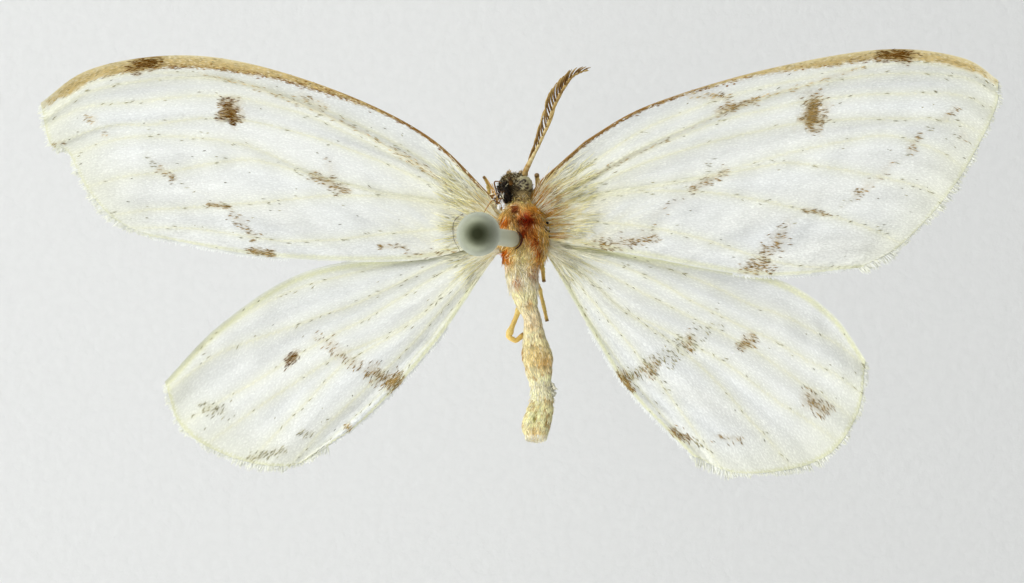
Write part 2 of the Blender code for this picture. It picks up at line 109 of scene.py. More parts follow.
# Veins: share of the way from the leading to the hind edge, at these shares of the way out
VEIN_STATIONS = (0.0, 0.15, 0.3, 0.45, 0.6, 0.8, 1.0)
VEINS = {
    "forewing_right": {
        "subcosta": (0.19, 0.21, 0.12, 0.08, 0.07, 0.05, 0.04),
        "radius": (0.29, 0.32, 0.23, 0.15, 0.10, 0.09, 0.06),
        "media_1": (0.32, 0.35, 0.26, 0.19, 0.17, 0.17, 0.12),
        "media_2": (0.37, 0.41, 0.34, 0.29, 0.26, 0.27, 0.23),
        "media_3": (0.40, 0.49, 0.51, 0.47, 0.39, 0.33, 0.40),
        "cubitus_1": (0.42, 0.50, 0.52, 0.48, 0.43, 0.50, 0.55),
        "cubitus_2": (0.44, 0.52, 0.54, 0.57, 0.62, 0.70, 0.81),
        "anal": (0.55, 0.74, 0.78, 0.82, 0.88, 0.95, 0.99),
    },
    "forewing_left": {
        "subcosta": (0.25, 0.21, 0.15, 0.11, 0.09, 0.06, 0.07),
        "radius": (0.34, 0.28, 0.20, 0.13, 0.09, 0.10, 0.09),
        "media_1": (0.37, 0.33, 0.23, 0.17, 0.16, 0.19, 0.12),
        "media_2": (0.39, 0.39, 0.34, 0.30, 0.27, 0.33, 0.23),
        "media_3": (0.40, 0.49, 0.53, 0.51, 0.41, 0.38, 0.36),
        "cubitus_1": (0.42, 0.50, 0.54, 0.51, 0.47, 0.55, 0.55),
        "cubitus_2": (0.43, 0.52, 0.55, 0.61, 0.68, 0.73, 0.75),
        "anal": (0.55, 0.73, 0.79, 0.86, 0.89, 0.85, 0.88),
    },
    "hindwing_right": {
        "subcosta": (0.14, 0.04, 0.07, 0.11, 0.16, 0.12, 0.02),
        "radial_sector": (0.22, 0.16, 0.19, 0.25, 0.27, 0.24, 0.13),
        "media_3": (0.31, 0.32, 0.34, 0.34, 0.34, 0.33, 0.24),
        "cubitus_1": (0.37, 0.50, 0.58, 0.49, 0.46, 0.45, 0.35),
        "cubitus_2": (0.46, 0.54, 0.59, 0.54, 0.55, 0.59, 0.58),
        "anal_1": (0.57, 0.72, 0.75, 0.76, 0.78, 0.83, 0.87),
        "anal_2": (0.74, 0.90, 0.94, 0.93, 0.92, 0.94, 0.95),
    },
    "hindwing_left": {
        "subcosta": (0.08, 0.10, 0.07, 0.09, 0.06, 0.02, 0.02),
        "radial_sector": (0.17, 0.20, 0.27, 0.30, 0.24, 0.11, 0.04),
        "media_3": (0.24, 0.36, 0.40, 0.43, 0.39, 0.32, 0.21),
        "cubitus_1": (0.34, 0.58, 0.66, 0.62, 0.51, 0.44, 0.37),
        "cubitus_2": (0.44, 0.63, 0.68, 0.64, 0.58, 0.59, 0.60),
        "anal_1": (0.55, 0.75, 0.77, 0.80, 0.79, 0.76, 0.80),
        "anal_2": (0.71, 0.91, 0.90, 0.92, 0.93, 0.88, 0.86),
    },
}
VEIN_HEIGHTS = {
    "subcosta": -0.03, "radius": 0.05, "radial_sector": 0.04, "media_1": -0.02, "media_2": 0.03,
    "media_3": -0.03, "cubitus_1": 0.03, "cubitus_2": 0.04, "anal": 0.05, "anal_1": 0.04, "anal_2": -0.02,
}
VEIN_RADIUS = 0.022
VEIN_TIP_SHARE = 0.45
VEIN_ROUNDING = 14
VEIN_STEPS = 70
VEIN_END = 0.985
VEIN_LIFT = 0.012
COSTA_RADIUS = 0.030
COSTA_V = 0.006
LEAD_HEIGHT = 0.02
CELL_SAG = 0.06
FOLD_FADE = 0.12
WRINKLE_HEIGHT = 0.02
WRINKLE_FADE = 0.1

# Uneven places of the wings: how much longer along the wing than across, size in mm, layer of noise
WING_GRAINS = {
    "wrinkle": (1, 0.5, 3),
    "fine": (1, 0.16, 1),
    "streak": (8, 0.14, 2),
    "broad": (6, 0.42, 5),
    "soft": (3, 0.8, 8),
    "outer": (5, 0.35, 18),
    "rays": (6, 0.085, 4),
    "ragged": (1, 0.2, 6),
}
# Light and dark over the wings' white: the scales' fine grain, and painted shade of the folds in streaks,
# broad bands, a fan of folds and darker folds towards the margin
WING_GRAIN_AND_PAINTED_FOLD_SHADE = {"fine": 0.0056, "streak": 0.014, "broad": 0.015}
FAN_PAINTED_FOLD_SHADE = 0.028
FAN_STRETCH = 16
FAN_FOLDS = 9
FAN_SIZE = 0.5
OUTER_PAINTED_FOLD_SHADE = 0.06
OUTER_SPAN = (0.55, 0.85)
SOFT_WARMTH = (3.6, 3.0, 0.9)

# Wing colours, as seen on the surface (0 to 255)
WHITE = (236, 238, 234)
VEIN_CREAM = (234, 232, 200)
NEAR_VEIN = (238, 239, 220)
MARGIN = (228, 229, 190)
ROOT_YELLOW = (244, 238, 186)
ROOT_OCHRE = (238, 198, 92)
MARK_COLOURS = {
    "brown": (160, 132, 78),
    "dark": (108, 70, 14),
    "tan": (196, 170, 112),
    "grey": (164, 158, 118),
}
MARK_EDGE_SIZE = 0.13
MARK_SHARE = 0.6
MARK_POWER = 1.8

# Veils of colour over the white: colour, strength, width in mm
VEIN_GLOW = (NEAR_VEIN, 0.5, 0.17)
VEIN_LINE = (VEIN_CREAM, 0.45, 0.035)
EDGE_GLOW = (NEAR_VEIN, 0.6, 0.9)
RIM_PLACE = 0.09
RIM_LINE = {True: (MARGIN, 0.6, 0.07), False: (MARGIN, 0.85, 0.07)}
ROOT_Y = 0.9
ROOT_YELLOW_STRENGTH = {True: 0.6, False: 0.2}
ROOT_YELLOW_REACH = 2.1
ROOT_OCHRE_REACH = 1.3

# Costal stripe: width in mm along the wing, and where along it (or across it) its parts begin and end
STRIPE_TAN = (214, 190, 128)
STRIPE_CREAM = (234, 222, 176)
STRIPE_EDGE = (146, 106, 50)
STRIPES = {
    "forewing_right": ((0.0, 0.36, 0.50, 0.66, 0.90, 1.0), (0.045, 0.045, 0.09, 0.23, 0.27, 0.14)),
    "forewing_left": ((0.0, 0.25, 0.42, 0.62, 0.93, 1.0), (0.045, 0.05, 0.14, 0.27, 0.30, 0.10)),
}
STRIPE_EDGE_STRENGTH = {"forewing_right": 0.2, "forewing_left": 0.6}
STRIPE_SOFTNESS = 0.06
STRIPE_END = (1.03, 0.93)
STRIPE_EDGE_PLACE = 0.85
STRIPE_EDGE_WIDTH = 0.04
STRIPE_EDGE_START = (0.3, 0.4)
STRIPE_EDGE_END = (0.9, 0.8)
STRIPE_EDGE_FADE = (0.86, 0.76)
ROOT_LINE_END = (0.5, 0.25)
ROOT_LINE_DEPTH = (0.075, 0.045)
STRIPE_PALE_START = (0.5, 0.6)
STRIPE_PALE_DEPTH = 0.13
ROOT_STAIN = {"forewing_right": 0.95, "forewing_left": 0.22, "hindwing_right": 0.12, "hindwing_left": 0.10}

# Marks: a line of points in mm, half width in mm, how dense (0 to 1), colour
MARKS = {
    "forewing_left": [
        ([(-6.90, 3.71), (-6.80, 3.51)], 0.19, 1.0, "dark"),
        ([(-7.08, 3.76), (-6.66, 3.44)], 0.15, 0.5, "brown"),
        ([(-6.62, 3.80), (-7.05, 3.40)], 0.10, 0.4, "brown"),
        ([(-8.98, 4.72), (-8.66, 4.82)], 0.19, 1.0, "dark"),
        ([(-9.25, 4.62), (-9.0, 4.70)], 0.14, 0.5, "brown"),
        ([(-10.20, 3.45), (-10.12, 3.40)], 0.09, 0.5, "tan"),
        ([(-9.88, 3.05), (-9.80, 3.03)], 0.06, 0.5, "tan"),
        ([(-11.10, 2.84), (-10.80, 2.87)], 0.05, 0.45, "brown"),
        ([(-8.86, 2.56), (-8.60, 2.34)], 0.09, 0.28, "grey"),
        ([(-8.51, 2.22), (-8.20, 2.02)], 0.09, 0.5, "brown"),
        ([(-8.20, 2.02), (-7.68, 1.70), (-7.18, 1.56)], 0.06, 0.22, "grey"),
        ([(-7.32, 1.37), (-6.87, 1.30)], 0.06, 0.75, "brown"),
        ([(-6.77, 1.11), (-6.44, 0.80), (-6.27, 0.58)], 0.13, 0.34, "brown"),
        ([(-6.30, 0.27), (-5.85, 0.18)], 0.11, 0.7, "brown"),
        ([(-4.86, 2.08), (-4.44, 1.85), (-4.10, 1.70)], 0.11, 0.62, "brown"),
        ([(-4.50, 2.28), (-4.42, 1.95)], 0.14, 0.30, "brown"),
        ([(-5.10, 3.90), (-4.60, 3.70)], 0.15, 0.42, "tan"),
        ([(-1.35, 1.56), (-2.37, 2.32), (-2.89, 2.63)], 0.07, 0.5, "tan"),
        ([(-2.89, 2.63), (-4.04, 3.27), (-5.23, 3.77), (-6.42, 4.20), (-7.61, 4.49)], 0.045, 0.42, "tan"),
        ([(-3.27, 0.39), (-2.70, 0.38)], 0.08, 0.5, "brown"),
        ([(-2.61, 0.18), (-1.54, 0.25)], 0.10, 0.35, "brown"),
    ],
    "forewing_right": [
        ([(6.89, 3.40), (6.95, 3.66)], 0.22, 1.0, "brown"),
        ([(6.88, 3.34), (6.97, 3.72)], 0.27, 0.55, "brown"),
        ([(8.66, 4.92), (9.14, 4.95)], 0.19, 1.0, "dark"),
        ([(7.90, 4.84), (8.7, 4.92)], 0.12, 0.4, "brown"),
        ([(0.61, 1.54), (1.68, 2.04), (2.87, 2.65)], 0.06, 0.42, "tan"),
        ([(2.87, 2.65), (4.06, 3.20), (4.77, 3.52)], 0.05, 0.3, "tan"),
        ([(4.72, 3.60), (5.15, 3.73), (5.56, 3.87)], 0.10, 0.75, "brown"),
        ([(5.56, 3.87), (6.00, 4.00), (6.68, 4.17), (8.11, 4.63)], 0.05, 0.45, "tan"),
        ([(4.06, 3.95), (4.55, 3.94)], 0.12, 0.42, "tan"),
        ([(4.66, 3.98), (4.96, 3.80)], 0.10, 0.4, "brown"),
        ([(4.02, 1.74), (4.44, 1.94), (4.86, 2.14)], 0.10, 0.55, "brown"),
        ([(4.37, 2.50), (4.49, 2.20)], 0.12, 0.22, "grey"),
        ([(3.20, 1.16), (3.63, 1.42), (4.06, 1.65)], 0.12, 0.22, "brown"),
        ([(1.32, 0.39), (1.92, 0.33)], 0.10, 0.36, "brown"),
        ([(1.92, 0.38), (2.58, 0.50), (3.11, 0.62)], 0.17, 0.42, "brown"),
        ([(10.37, 3.68), (10.04, 3.42)], 0.07, 0.4, "brown"),
        ([(9.96, 3.36), (9.68, 3.16)], 0.09, 0.32, "grey"),
        ([(9.46, 3.02), (9.25, 2.69)], 0.11, 0.4, "brown"),
        ([(9.20, 2.62), (8.95, 2.38)], 0.09, 0.22, "grey"),
        ([(8.82, 2.36), (8.44, 1.96)], 0.08, 0.3, "brown"),
        ([(8.34, 1.86), (7.99, 1.63)], 0.12, 0.42, "brown"),
        ([(7.85, 1.50), (7.65, 1.35)], 0.08, 0.3, "grey"),
        ([(6.68, 1.26), (7.00, 1.20), (7.30, 1.12)], 0.05, 0.6, "brown"),
        ([(6.62, 1.14), (6.32, 0.96)], 0.10, 0.28, "grey"),
        ([(6.34, 0.90), (6.10, 0.54)], 0.15, 0.36, "brown"),
        ([(6.08, 0.46), (5.76, 0.16)], 0.20, 0.42, "brown"),
        ([(5.80, -0.06), (5.45, -0.10)], 0.18, 0.46, "brown"),
        ([(5.30, -0.22), (5.60, -0.22)], 0.13, 0.34, "tan"),
        ([(10.55, 2.95), (10.20, 2.70)], 0.22, 0.20, "grey"),
        ([(10.54, 3.04), (10.50, 2.98)], 0.10, 0.28, "brown"),
        ([(0.78, 1.62), (0.92, 1.64)], 0.05, 0.8, "dark"),
    ],
    "hindwing_left": [
        ([(-5.47, -2.32), (-5.31, -2.19)], 0.09, 0.9, "dark"),
        ([(-4.85, -1.74), (-4.46, -1.92)], 0.11, 0.34, "brown"),
        ([(-4.40, -1.96), (-4.20, -2.18), (-3.96, -2.36)], 0.17, 0.42, "brown"),
        ([(-3.90, -2.30), (-3.60, -2.58)], 0.13, 0.35, "brown"),
        ([(-3.44, -2.61), (-3.13, -2.73), (-2.86, -2.84)], 0.19, 0.66, "brown"),
        ([(-3.05, -2.98), (-2.82, -2.98)], 0.12, 0.5, "brown"),
        ([(-7.44, -3.42), (-7.05, -3.56)], 0.17, 0.55, "grey"),
        ([(-4.06, -3.88), (-4.0, -3.90)], 0.07, 0.5, "tan"),
        ([(-6.42, -4.62), (-5.99, -4.55), (-5.58, -4.43)], 0.10, 0.5, "grey"),
        ([(-5.20, -4.00), (-4.95, -4.05)], 0.08, 0.5, "grey"),
        ([(-7.85, -1.92), (-7.44, -2.08)], 0.12, 0.36, "grey"),
    ],
    "hindwing_right": [
        ([(5.25, -1.96), (5.48, -1.83)], 0.14, 0.72, "brown"),
        ([(2.35, -2.75), (3.17, -2.38), (3.94, -1.90)], 0.18, 0.42, "grey"),
        ([(3.94, -1.90), (4.77, -1.43)], 0.16, 0.32, "grey"),
        ([(4.02, -1.78), (3.97, -1.96)], 0.11, 0.6, "brown"),
        ([(3.15, -2.36), (3.08, -2.62)], 0.13, 0.55, "brown"),
        ([(2.95, -2.50), (2.75, -2.62)], 0.12, 0.32, "brown"),
        ([(2.36, -2.66), (2.62, -2.98)], 0.13, 0.72, "brown"),
        ([(6.88, -3.20), (7.05, -3.34), (7.22, -3.46)], 0.18, 0.62, "brown"),
        ([(4.70, -4.10), (5.18, -4.18)], 0.10, 0.42, "brown"),
        ([(3.58, -4.00), (3.92, -4.14)], 0.12, 0.45, "brown"),
        ([(4.00, -4.16), (4.35, -4.28)], 0.09, 0.2, "grey"),
    ],
}

# Scales of the wings, in mm
SCALE_LENGTH = 0.092
SCALE_WIDTH = 0.036
SCALE_THICKNESS = 0.0016
SCALE_VARIETY = (0.75, 1.25)
SCALE_SWAY = 0.13
SCALE_LIFT = 0.02
SCALE_GAP = 0.002
UNDER_STEPS = (0.10, 0.12)
UPPER_STEPS = (0.050, 0.060)
UNDER_LONGER = 1.3
UNDER_WIDER = 1.4
DUST_SHARE = 0.004
DUST_NARROWER = 0.5
STROKE_STEPS = (0.030, 0.030)
STROKE_LENGTH = 0.145
STROKE_WIDTH = 0.016
STROKE_SWAY = 0.20
STROKE_GAP = 0.008
STROKE_SHARE = 0.85
VEIN_DUST_SHARE = 0.012
VEIN_DUST_WIDTH = 0.07
FRINGE_LENGTH = 0.20
FRINGE_WIDTH = 0.030
FRINGE_STEP = 0.012
FRINGE_THICKNESS = 0.006
FRINGE_U = 0.984
REAR_FRINGE_V = 0.994
REAR_FRINGE_START = {True: 0.6, False: 0.35}
ROOT_HAIRS = {True: 580, False: 240}
ROOT_HAIR_PALE_SHARE = {True: 0.45, False: 0.8}
ROOT_HAIR_WARM = (206, 148, 60)
ROOT_HAIR_PALE = (252, 250, 232)
ROOT_HAIR_RADIUS = 0.010
ROOT_HAIR_LENGTHS = (0.25, 0.75)
LEAF_WIDEST = 0.55
PATCH_SIZE = 0.003
MAP_MARGIN = 0.03
MAP_SPAN = 0.94
MAP_HALF = 0.44
STEP_ASIDE = 0.01

# Body: rows of y, x, half width, half height
BODY_ROWS = [
    (-4.22, 0.40, 0.10, 0.08), (-4.17, 0.39, 0.24, 0.17), (-4.08, 0.385, 0.30, 0.22),
    (-3.95, 0.385, 0.335, 0.27), (-3.75, 0.425, 0.355, 0.30), (-3.50, 0.49, 0.325, 0.30),
    (-3.25, 0.53, 0.27, 0.26), (-2.96, 0.505, 0.23, 0.23), (-2.65, 0.465, 0.315, 0.29),
    (-2.27, 0.43, 0.375, 0.33), (-2.00, 0.39, 0.33, 0.31), (-1.77, 0.355, 0.265, 0.28),
    (-1.32, 0.30, 0.21, 0.25), (-1.04, 0.175, 0.255, 0.28), (-0.80, 0.125, 0.31, 0.33),
    (-0.58, 0.095, 0.345, 0.38), (-0.25, 0.06, 0.385, 0.45),
    (-0.08, 0.07, 0.42, 0.52), (0.15, 0.10, 0.50, 0.64), (0.40, 0.11, 0.545, 0.71), (0.65, 0.11, 0.56, 0.73),
    (0.90, 0.10, 0.545, 0.69), (1.12, 0.07, 0.50, 0.60), (1.28, 0.04, 0.42, 0.47), (1.40, 0.00, 0.33, 0.34),
    (1.50, -0.05, 0.32, 0.33), (1.62, -0.08, 0.38, 0.36), (1.78, -0.10, 0.41, 0.38),
    (1.94, -0.10, 0.37, 0.35),
    (2.05, -0.10, 0.27, 0.25), (2.11, -0.10, 0.06, 0.06),
]
BODY_LEVELS = [(-4.2, 27.60), (-0.25, 27.79), (0.30, 27.96), (0.60, 28.0), (1.10, 27.98), (1.50, 27.87),
               (2.2, 27.85)]
BODY_RINGS = 230
BODY_SIDES = 60
SEGMENT_EDGES = (-0.52, -1.02, -1.50, -1.98, -2.46, -2.94, -3.36)
SEGMENT_GROOVE = 0.010
SEGMENT_GROOVE_WIDTH = 0.04

# Body colours, and patches on it: x and y in mm, radius, colour, strength
THORAX_TONE = (236, 192, 108)
ABDOMEN_TONE = (255, 244, 190)
HEAD_TONE = (132, 114, 74)
BODY_PATCHES = [
    ((0.28, 1.24), 0.20, (216, 150, 52), 0.85),
    ((0.36, 0.92), 0.15, (200, 120, 34), 0.8),
    ((0.15, 1.00), 0.19, (136, 24, 0), 1.0),
    ((0.10, 0.70), 0.12, (146, 40, 0), 0.95),
    ((0.30, 0.66), 0.12, (190, 92, 14), 0.8),
    ((0.38, 0.48), 0.10, (160, 56, 2), 0.95),
    ((0.43, 0.26), 0.09, (172, 66, 4), 0.95),
    ((-0.34, 0.94), 0.13, (190, 82, 8), 0.9),
    ((-0.37, 0.20), 0.13, (192, 84, 8), 0.95),
    ((-0.26, 0.02), 0.11, (206, 112, 28), 0.85),
    ((0.48, 0.00), 0.11, (200, 124, 44), 0.7),
    ((-0.10, 1.27), 0.10, (108, 28, 4), 0.95),
    ((-0.20, 1.10), 0.11, (186, 140, 78), 0.8),
    ((0.10, 0.24), 0.22, (248, 226, 158), 0.85),
    ((0.12, 1.55), 0.19, (212, 186, 128), 0.95),
    ((0.00, -0.12), 0.24, (232, 216, 166), 0.8),
    ((-0.06, -0.46), 0.14, (196, 132, 92), 0.8),
    ((0.34, -0.24), 0.16, (192, 136, 100), 0.8),
    ((0.30, -1.35), 0.34, (246, 222, 180), 0.7),
    ((0.24, -0.96), 0.08, (214, 150, 72), 0.7),
    ((0.60, -2.35), 0.18, (204, 150, 76), 0.75),
    ((0.40, -2.20), 0.30, (236, 202, 128), 0.7),
    ((0.52, -2.98), 0.22, (255, 250, 214), 0.9),
    ((0.45, -3.6), 0.36, (255, 252, 190), 0.9),
    ((0.36, -3.72), 0.05, (120, 112, 44), 0.9),
    ((0.64, -3.82), 0.04, (140, 112, 50), 0.8),
    ((0.40, -3.50), 0.04, (150, 130, 60), 0.8),
    ((0.36, -4.02), 0.18, (246, 214, 144), 0.7),
    ((-0.50, 1.72), 0.12, (158, 126, 76), 0.8),
    ((-0.30, 1.72), 0.15, (38, 28, 16), 0.95),
    ((-0.08, 1.84), 0.15, (74, 60, 34), 0.8),
    ((0.16, 1.98), 0.20, (156, 150, 124), 0.8),
    ((-0.52, 1.56), 0.14, (176, 130, 64), 0.7),
]
SEGMENT_TONE = (206, 170, 108)
MOTTLE_TONE = (170, 120, 56)
SKIN_DARKER = 0.86

# Coats of the body; a tuft zone is y from and to, number, length, rise and paleness of its hairs
THORAX_HAIRS = 9000
THORAX_HAIR_RADIUS = 0.011
LOCK_CREAM = (254, 238, 184)
LOCK_PALE = (255, 246, 214)
ABDOMEN_SCALES = 7600
ABDOMEN_PALE = (255, 248, 222)
TUFT_ZONES = [(-3.25, -2.80, 420, 0.14, 0.30, 0.9), (-4.21, -4.08, 1100, 0.15, 0.25, 1.1),
              (-0.62, -0.02, 700, 0.24, 0.16, 0.9), (-4.0, -0.4, 500, 0.15, 0.03, 0.7)]
TUFT_PALE = (255, 252, 236)
TUFT_RADIUS = 0.010
FLAP_SCALES = 60
FLAP_SPANS = ((0.68, 0.80), (-3.12, -2.84), (27.70, 27.80))
FLAP_TONE = (252, 248, 222)
HEAD_BRISTLES = 2400
BRISTLE_RADIUS = 0.009
BRISTLE_DARK = (34, 26, 14)
BRISTLE_PALE = (232, 224, 190)

# Eyes, a dark crescent by the pin, the loose hair, the specks, a white speck painted as a highlight and white
# lumps: places and radii in mm
EYE_BLACK = (26, 18, 8)
EYE_BROWN = (96, 70, 34)
EYE_PALE = (170, 162, 122)
EYE_SPOT = (40, 24, 8)
EYE_LEFT_LUMPS = [(-0.34, 1.80, 28.14, 0.105), (-0.30, 1.67, 28.20, 0.105), (-0.25, 1.56, 28.18, 0.095),
                  (-0.26, 1.88, 28.15, 0.060), (-0.33, 1.49, 28.14, 0.065), (-0.43, 1.70, 28.08, 0.060),
                  (-0.45, 1.74, 27.98, 0.095), (-0.47, 1.62, 27.94, 0.075), (-0.44, 1.84, 27.94, 0.065)]
EYE_RIGHT = (0.09, 1.87, 28.14)
EYE_RIGHT_RADIUS = 0.205
# A dark crescent on the thorax beside the pin, where it goes in
PIN_CRESCENT_CENTRE = (-0.195, 0.545, 28.79)
PIN_CRESCENT_REACH = 0.245
PIN_CRESCENT_TURN = (math.radians(62), math.radians(-72))
PIN_CRESCENT_RADIUS = 0.026
PIN_CRESCENT_TAPER = (0.2, 1.0, 0.9, 0.3)
CRESCENT_TONE = (70, 34, 18)
STRAY_HAIR = [(-1.345, 1.155), (-1.50, 1.05), (-1.58, 0.89), (-1.56, 0.55), (-1.42, 0.28)]
STRAY_HAIR_RADIUS = 0.010
STRAY_HAIR_LIFT = 0.045
STRAY_HAIR_TONE = (120, 112, 96)
THORAX_SPECK = (0.60, 0.75, 28.43, 0.055)
WING_SPECKS = [(0.66, 0.94, 0.032), (0.68, 0.74, 0.036), (0.69, 0.60, 0.034)]
# A white speck between the dark ones: a painted highlight, standing for a glint
PAINTED_GLINT_SPECK = (0.66, 0.81, 0.036)
SPECK_LIFT = 0.10
SPECK_TONE = (30, 18, 12)
# White lumps by the left eye: place and radius
WHITE_LUMPS = [((-0.58, 1.46, 28.22), 0.018), ((-0.49, 1.33, 28.29), 0.050)]
WHITE_LUMP_TONE = (240, 240, 234)

# Legs, along the part's, thinner and as the photo shows them
LEGS = {
    "foreleg_left": ([(-0.30, 1.08, -0.98), (-0.55, 1.33, -0.90), (-0.72, 1.60, -0.60), (-0.74, 1.85, -0.35),
                      (-0.85, 2.04, -0.15)], (0.07, 0.035)),
    "foreleg_right": ([(0.26, 1.08, -0.98), (0.42, 1.36, -0.98), (0.46, 1.70, -0.72), (0.41, 2.09, -0.25)],
                      (0.06, 0.056)),
    "midleg_left": ([(-0.50, 0.42, -0.95), (-0.74, 0.30, -1.15), (-1.15, -0.05, -1.15),
                     (-1.45, -0.40, -1.05)], (0.07, 0.045)),
    "midleg_right": ([(0.42, 0.48, -0.95), (0.52, 0.25, -1.05), (0.55, -0.12, -0.98), (0.585, -0.45, -0.80)],
                     (0.06, 0.042)),
    "hindleg_left": ([(-0.22, 0.02, -0.98), (0.00, -1.08, -0.85), (-0.27, -1.76, -0.62),
                      (-0.09, -1.87, -0.68), (0.10, -1.72, -0.80)], (0.066, 0.062)),
    "hindleg_right": ([(0.18, 0.02, -1.00), (0.48, -0.62, -1.05), (0.66, -1.40, -0.90)], (0.055, 0.042)),
}
LEG_TAN = (252, 228, 148)
LEG_AMBER = (236, 188, 92)
LEG_DARK = (138, 106, 58)
LEG_STEPS = 60
LEG_CORNER = 0.12
LEG_SPINES = 50
LEG_SPINE_RADIUS = 0.006

# Antenna: the shaft runs along the right side of the part's, its branches lie folded forwards
ANTENNA_POINTS = [(0.13, 2.08, 0.04), (0.16, 2.22, 0.08), (0.37, 2.63, 0.18), (0.53, 2.98, 0.27),
                  (0.67, 3.31, 0.34), (0.78, 3.65, 0.42), (0.92, 3.96, 0.46), (1.04, 4.17, 0.49),
                  (1.20, 4.385, 0.50),
                  (1.39, 4.51, 0.50), (1.62, 4.58, 0.48)]
ANTENNA_RADII = (0.070, 0.060, 0.040, 0.028, 0.028, 0.028, 0.026, 0.024, 0.020, 0.016, 0.010)
RAMI_PAIRS = 25
RAMI_SPAN = (0.09, 0.96)
RAMI_LENGTHS = (0.56, 0.36)
RAMI_REACH_STATIONS = (0.08, 0.20, 0.38, 0.55, 0.70, 0.84, 1.0)
RAMI_REACHES = ((0.09, 0.15, 0.22, 0.21, 0.14, 0.07, 0.03), (0.02, 0.03, 0.05, 0.06, 0.05, 0.04, 0.02))
RAMI_RADIUS = 0.021
ANTENNA_TAN = (206, 178, 112)
ANTENNA_PALE = (222, 206, 154)
ANTENNA_DARK = (104, 72, 28)
ANTENNA_JOINT = (166, 124, 62)
ANTENNA_STEPS = 150
# Painted shade along each branch, strongest at its root on the shaft and fading out to its tip
RAMI_ROOT_PAINTED_SHADE = (0.9, 0.9, 0.8, 0.55, 0.35, 0.2, 0.1, 0.1)
STUB_RADII = (0.055, 0.045, 0.040)
STUB_STEPS = 20
STUB_TIP = (40, 28, 12)
STUB_POINTS = [(-0.20, 1.88, 0.24), (-0.22, 1.95, 0.34), (-0.25, 2.01, 0.42)]
PALP_PLACES = {"palp_left": -0.25, "palp_right": 0.05}
PALP_LINE = [(1.80, 27.60), (1.96, 27.46), (2.07, 27.34), (2.15, 27.24)]
PALP_RADII = (0.06, 0.075, 0.07, 0.025)
PALP_TONE = (176, 148, 98)
PALP_SCALES = 170
PALP_STEPS = 24

# Torn threads by the left eye: points and radius, thick at the body
THREADS = [
    ([(-0.52, 1.62, 28.10), (-0.60, 1.88, 28.14), (-0.54, 1.93, 28.16), (-0.40, 1.88, 28.18)],
     0.020, (120, 84, 40)),
    ([(-0.50, 1.40, 28.00), (-0.62, 1.58, 28.12), (-0.66, 1.76, 28.12), (-0.80, 2.02, 28.05)],
     0.028, (190, 146, 78)),
    ([(-0.46, 1.50, 28.12), (-0.62, 1.50, 28.20), (-0.74, 1.36, 28.28), (-0.85, 1.18, 28.34)],
     0.016, (186, 140, 70)),
    ([(-0.44, 1.34, 28.10), (-0.56, 1.60, 28.20), (-0.66, 1.88, 28.20)], 0.022, (206, 164, 96)),
]

# Pin and base, from the part
PIN_RADIUS = 0.20
PIN_LENGTH = 38.0
PIN_POINT_LENGTH = 1.2
PIN_POINT = [(0.0, 0.004), (0.3, 0.055), (0.7, 0.13)]
PIN_HEAD_STEPS = 24
PIN_SIDES = 40
PIN_HEAD_RADIUS = 0.50
PIN_HEAD_HEIGHT = 0.75
PIN_TIP_Z = 1.0
PIN_ENTRY = (-0.20, 0.56, 28.75)
PIN_LEAN = (-0.0751, 0.0048)
PIN_TONE = (186, 191, 172)
# The dark middle of the pin's head: a painted reflection of the dark sky overhead
PIN_HEAD_PAINTED_REFLECTION = (52, 56, 32)
BASE_SIZE = (30.0, 20.0, 6.0)
BASE_CORNER = 2.0
BASE_CORNER_STEPS = 16
BASE_EDGE = 0.3
BASE_TONE = (216, 217, 216)

# Torn shards by the left eye: place, spread, length, width and tones
SHARD_PLACE = (-0.46, 1.55, 28.20)
SHARD_SPREAD = (0.11, 0.15, 0.06)
SHARD_COUNT = 46
SHARD_LENGTH = 0.17
SHARD_WIDTH = 0.030
SHARD_THICKNESS = 0.006
SHARD_TONES = ((236, 228, 196), (250, 248, 240), (120, 82, 42), (46, 32, 16))


def clamp(values):
    return np.clip(values, 0.0, 1.0)


def ease(values, start, end):
    """Share of the way from start to end, held at 0 before it and at 1 beyond it."""
    return clamp((values - start) / (end - start))


def bell(distance, width, power=2):
    """1 at no distance, falling to almost nothing at twice the width."""
    return np.exp(-(distance / width) ** power)


def linear(colour):
    """Surface colour from 0 to 255 as linear light."""
    share = clamp(np.asarray(colour, float) / 255.0)
    return np.where(share <= 0.04045, share / 12.92, ((share + 0.055) / 1.055) ** 2.4)


def blend(colours, other, share):
    """Colours, or one tone, moved towards another colour, each by its own share."""
    share = clamp(share)[..., None]
    return np.asarray(colours, float) * (1.0 - share) + np.asarray(other, float) * share


def veil(colours, distance, kind):
    """A veil of one kind (colour, strength, width) over the colours near a line."""
    colour, strength, width = kind
    return blend(colours, colour, strength * bell(distance, width))


LATTICE_SIZE = 256
LATTICE = np.random.default_rng(SEED).random((LATTICE_SIZE, LATTICE_SIZE))
LATTICE_START = 1000.0
LAYER_SHIFTS = (37.3, 91.7)
CURVE_STEPS = 24


def noise(x, y, size, layer):
    """Smooth noise from -1 to 1, in lumps of about the given size."""
    places = [part / size + shift * layer + LATTICE_START for part, shift in zip((x, y), LAYER_SHIFTS)]
    ix, iy = (np.floor(place).astype(int) for place in places)
    fx, fy = (part * part * (3 - 2 * part) for part in (places[0] - ix, places[1] - iy))
    left, right = ix % LATTICE_SIZE, (ix + 1) % LATTICE_SIZE
    low, high = (LATTICE[left, row % LATTICE_SIZE] * (1 - fx) + LATTICE[right, row % LATTICE_SIZE] * fx
                 for row in (iy, iy + 1))
    return 2 * (low * (1 - fy) + high * fy) - 1


def draws(*seeds):
    """A row of random numbers of its own for each part, the same on every run."""
    return np.random.default_rng([SEED, *seeds])


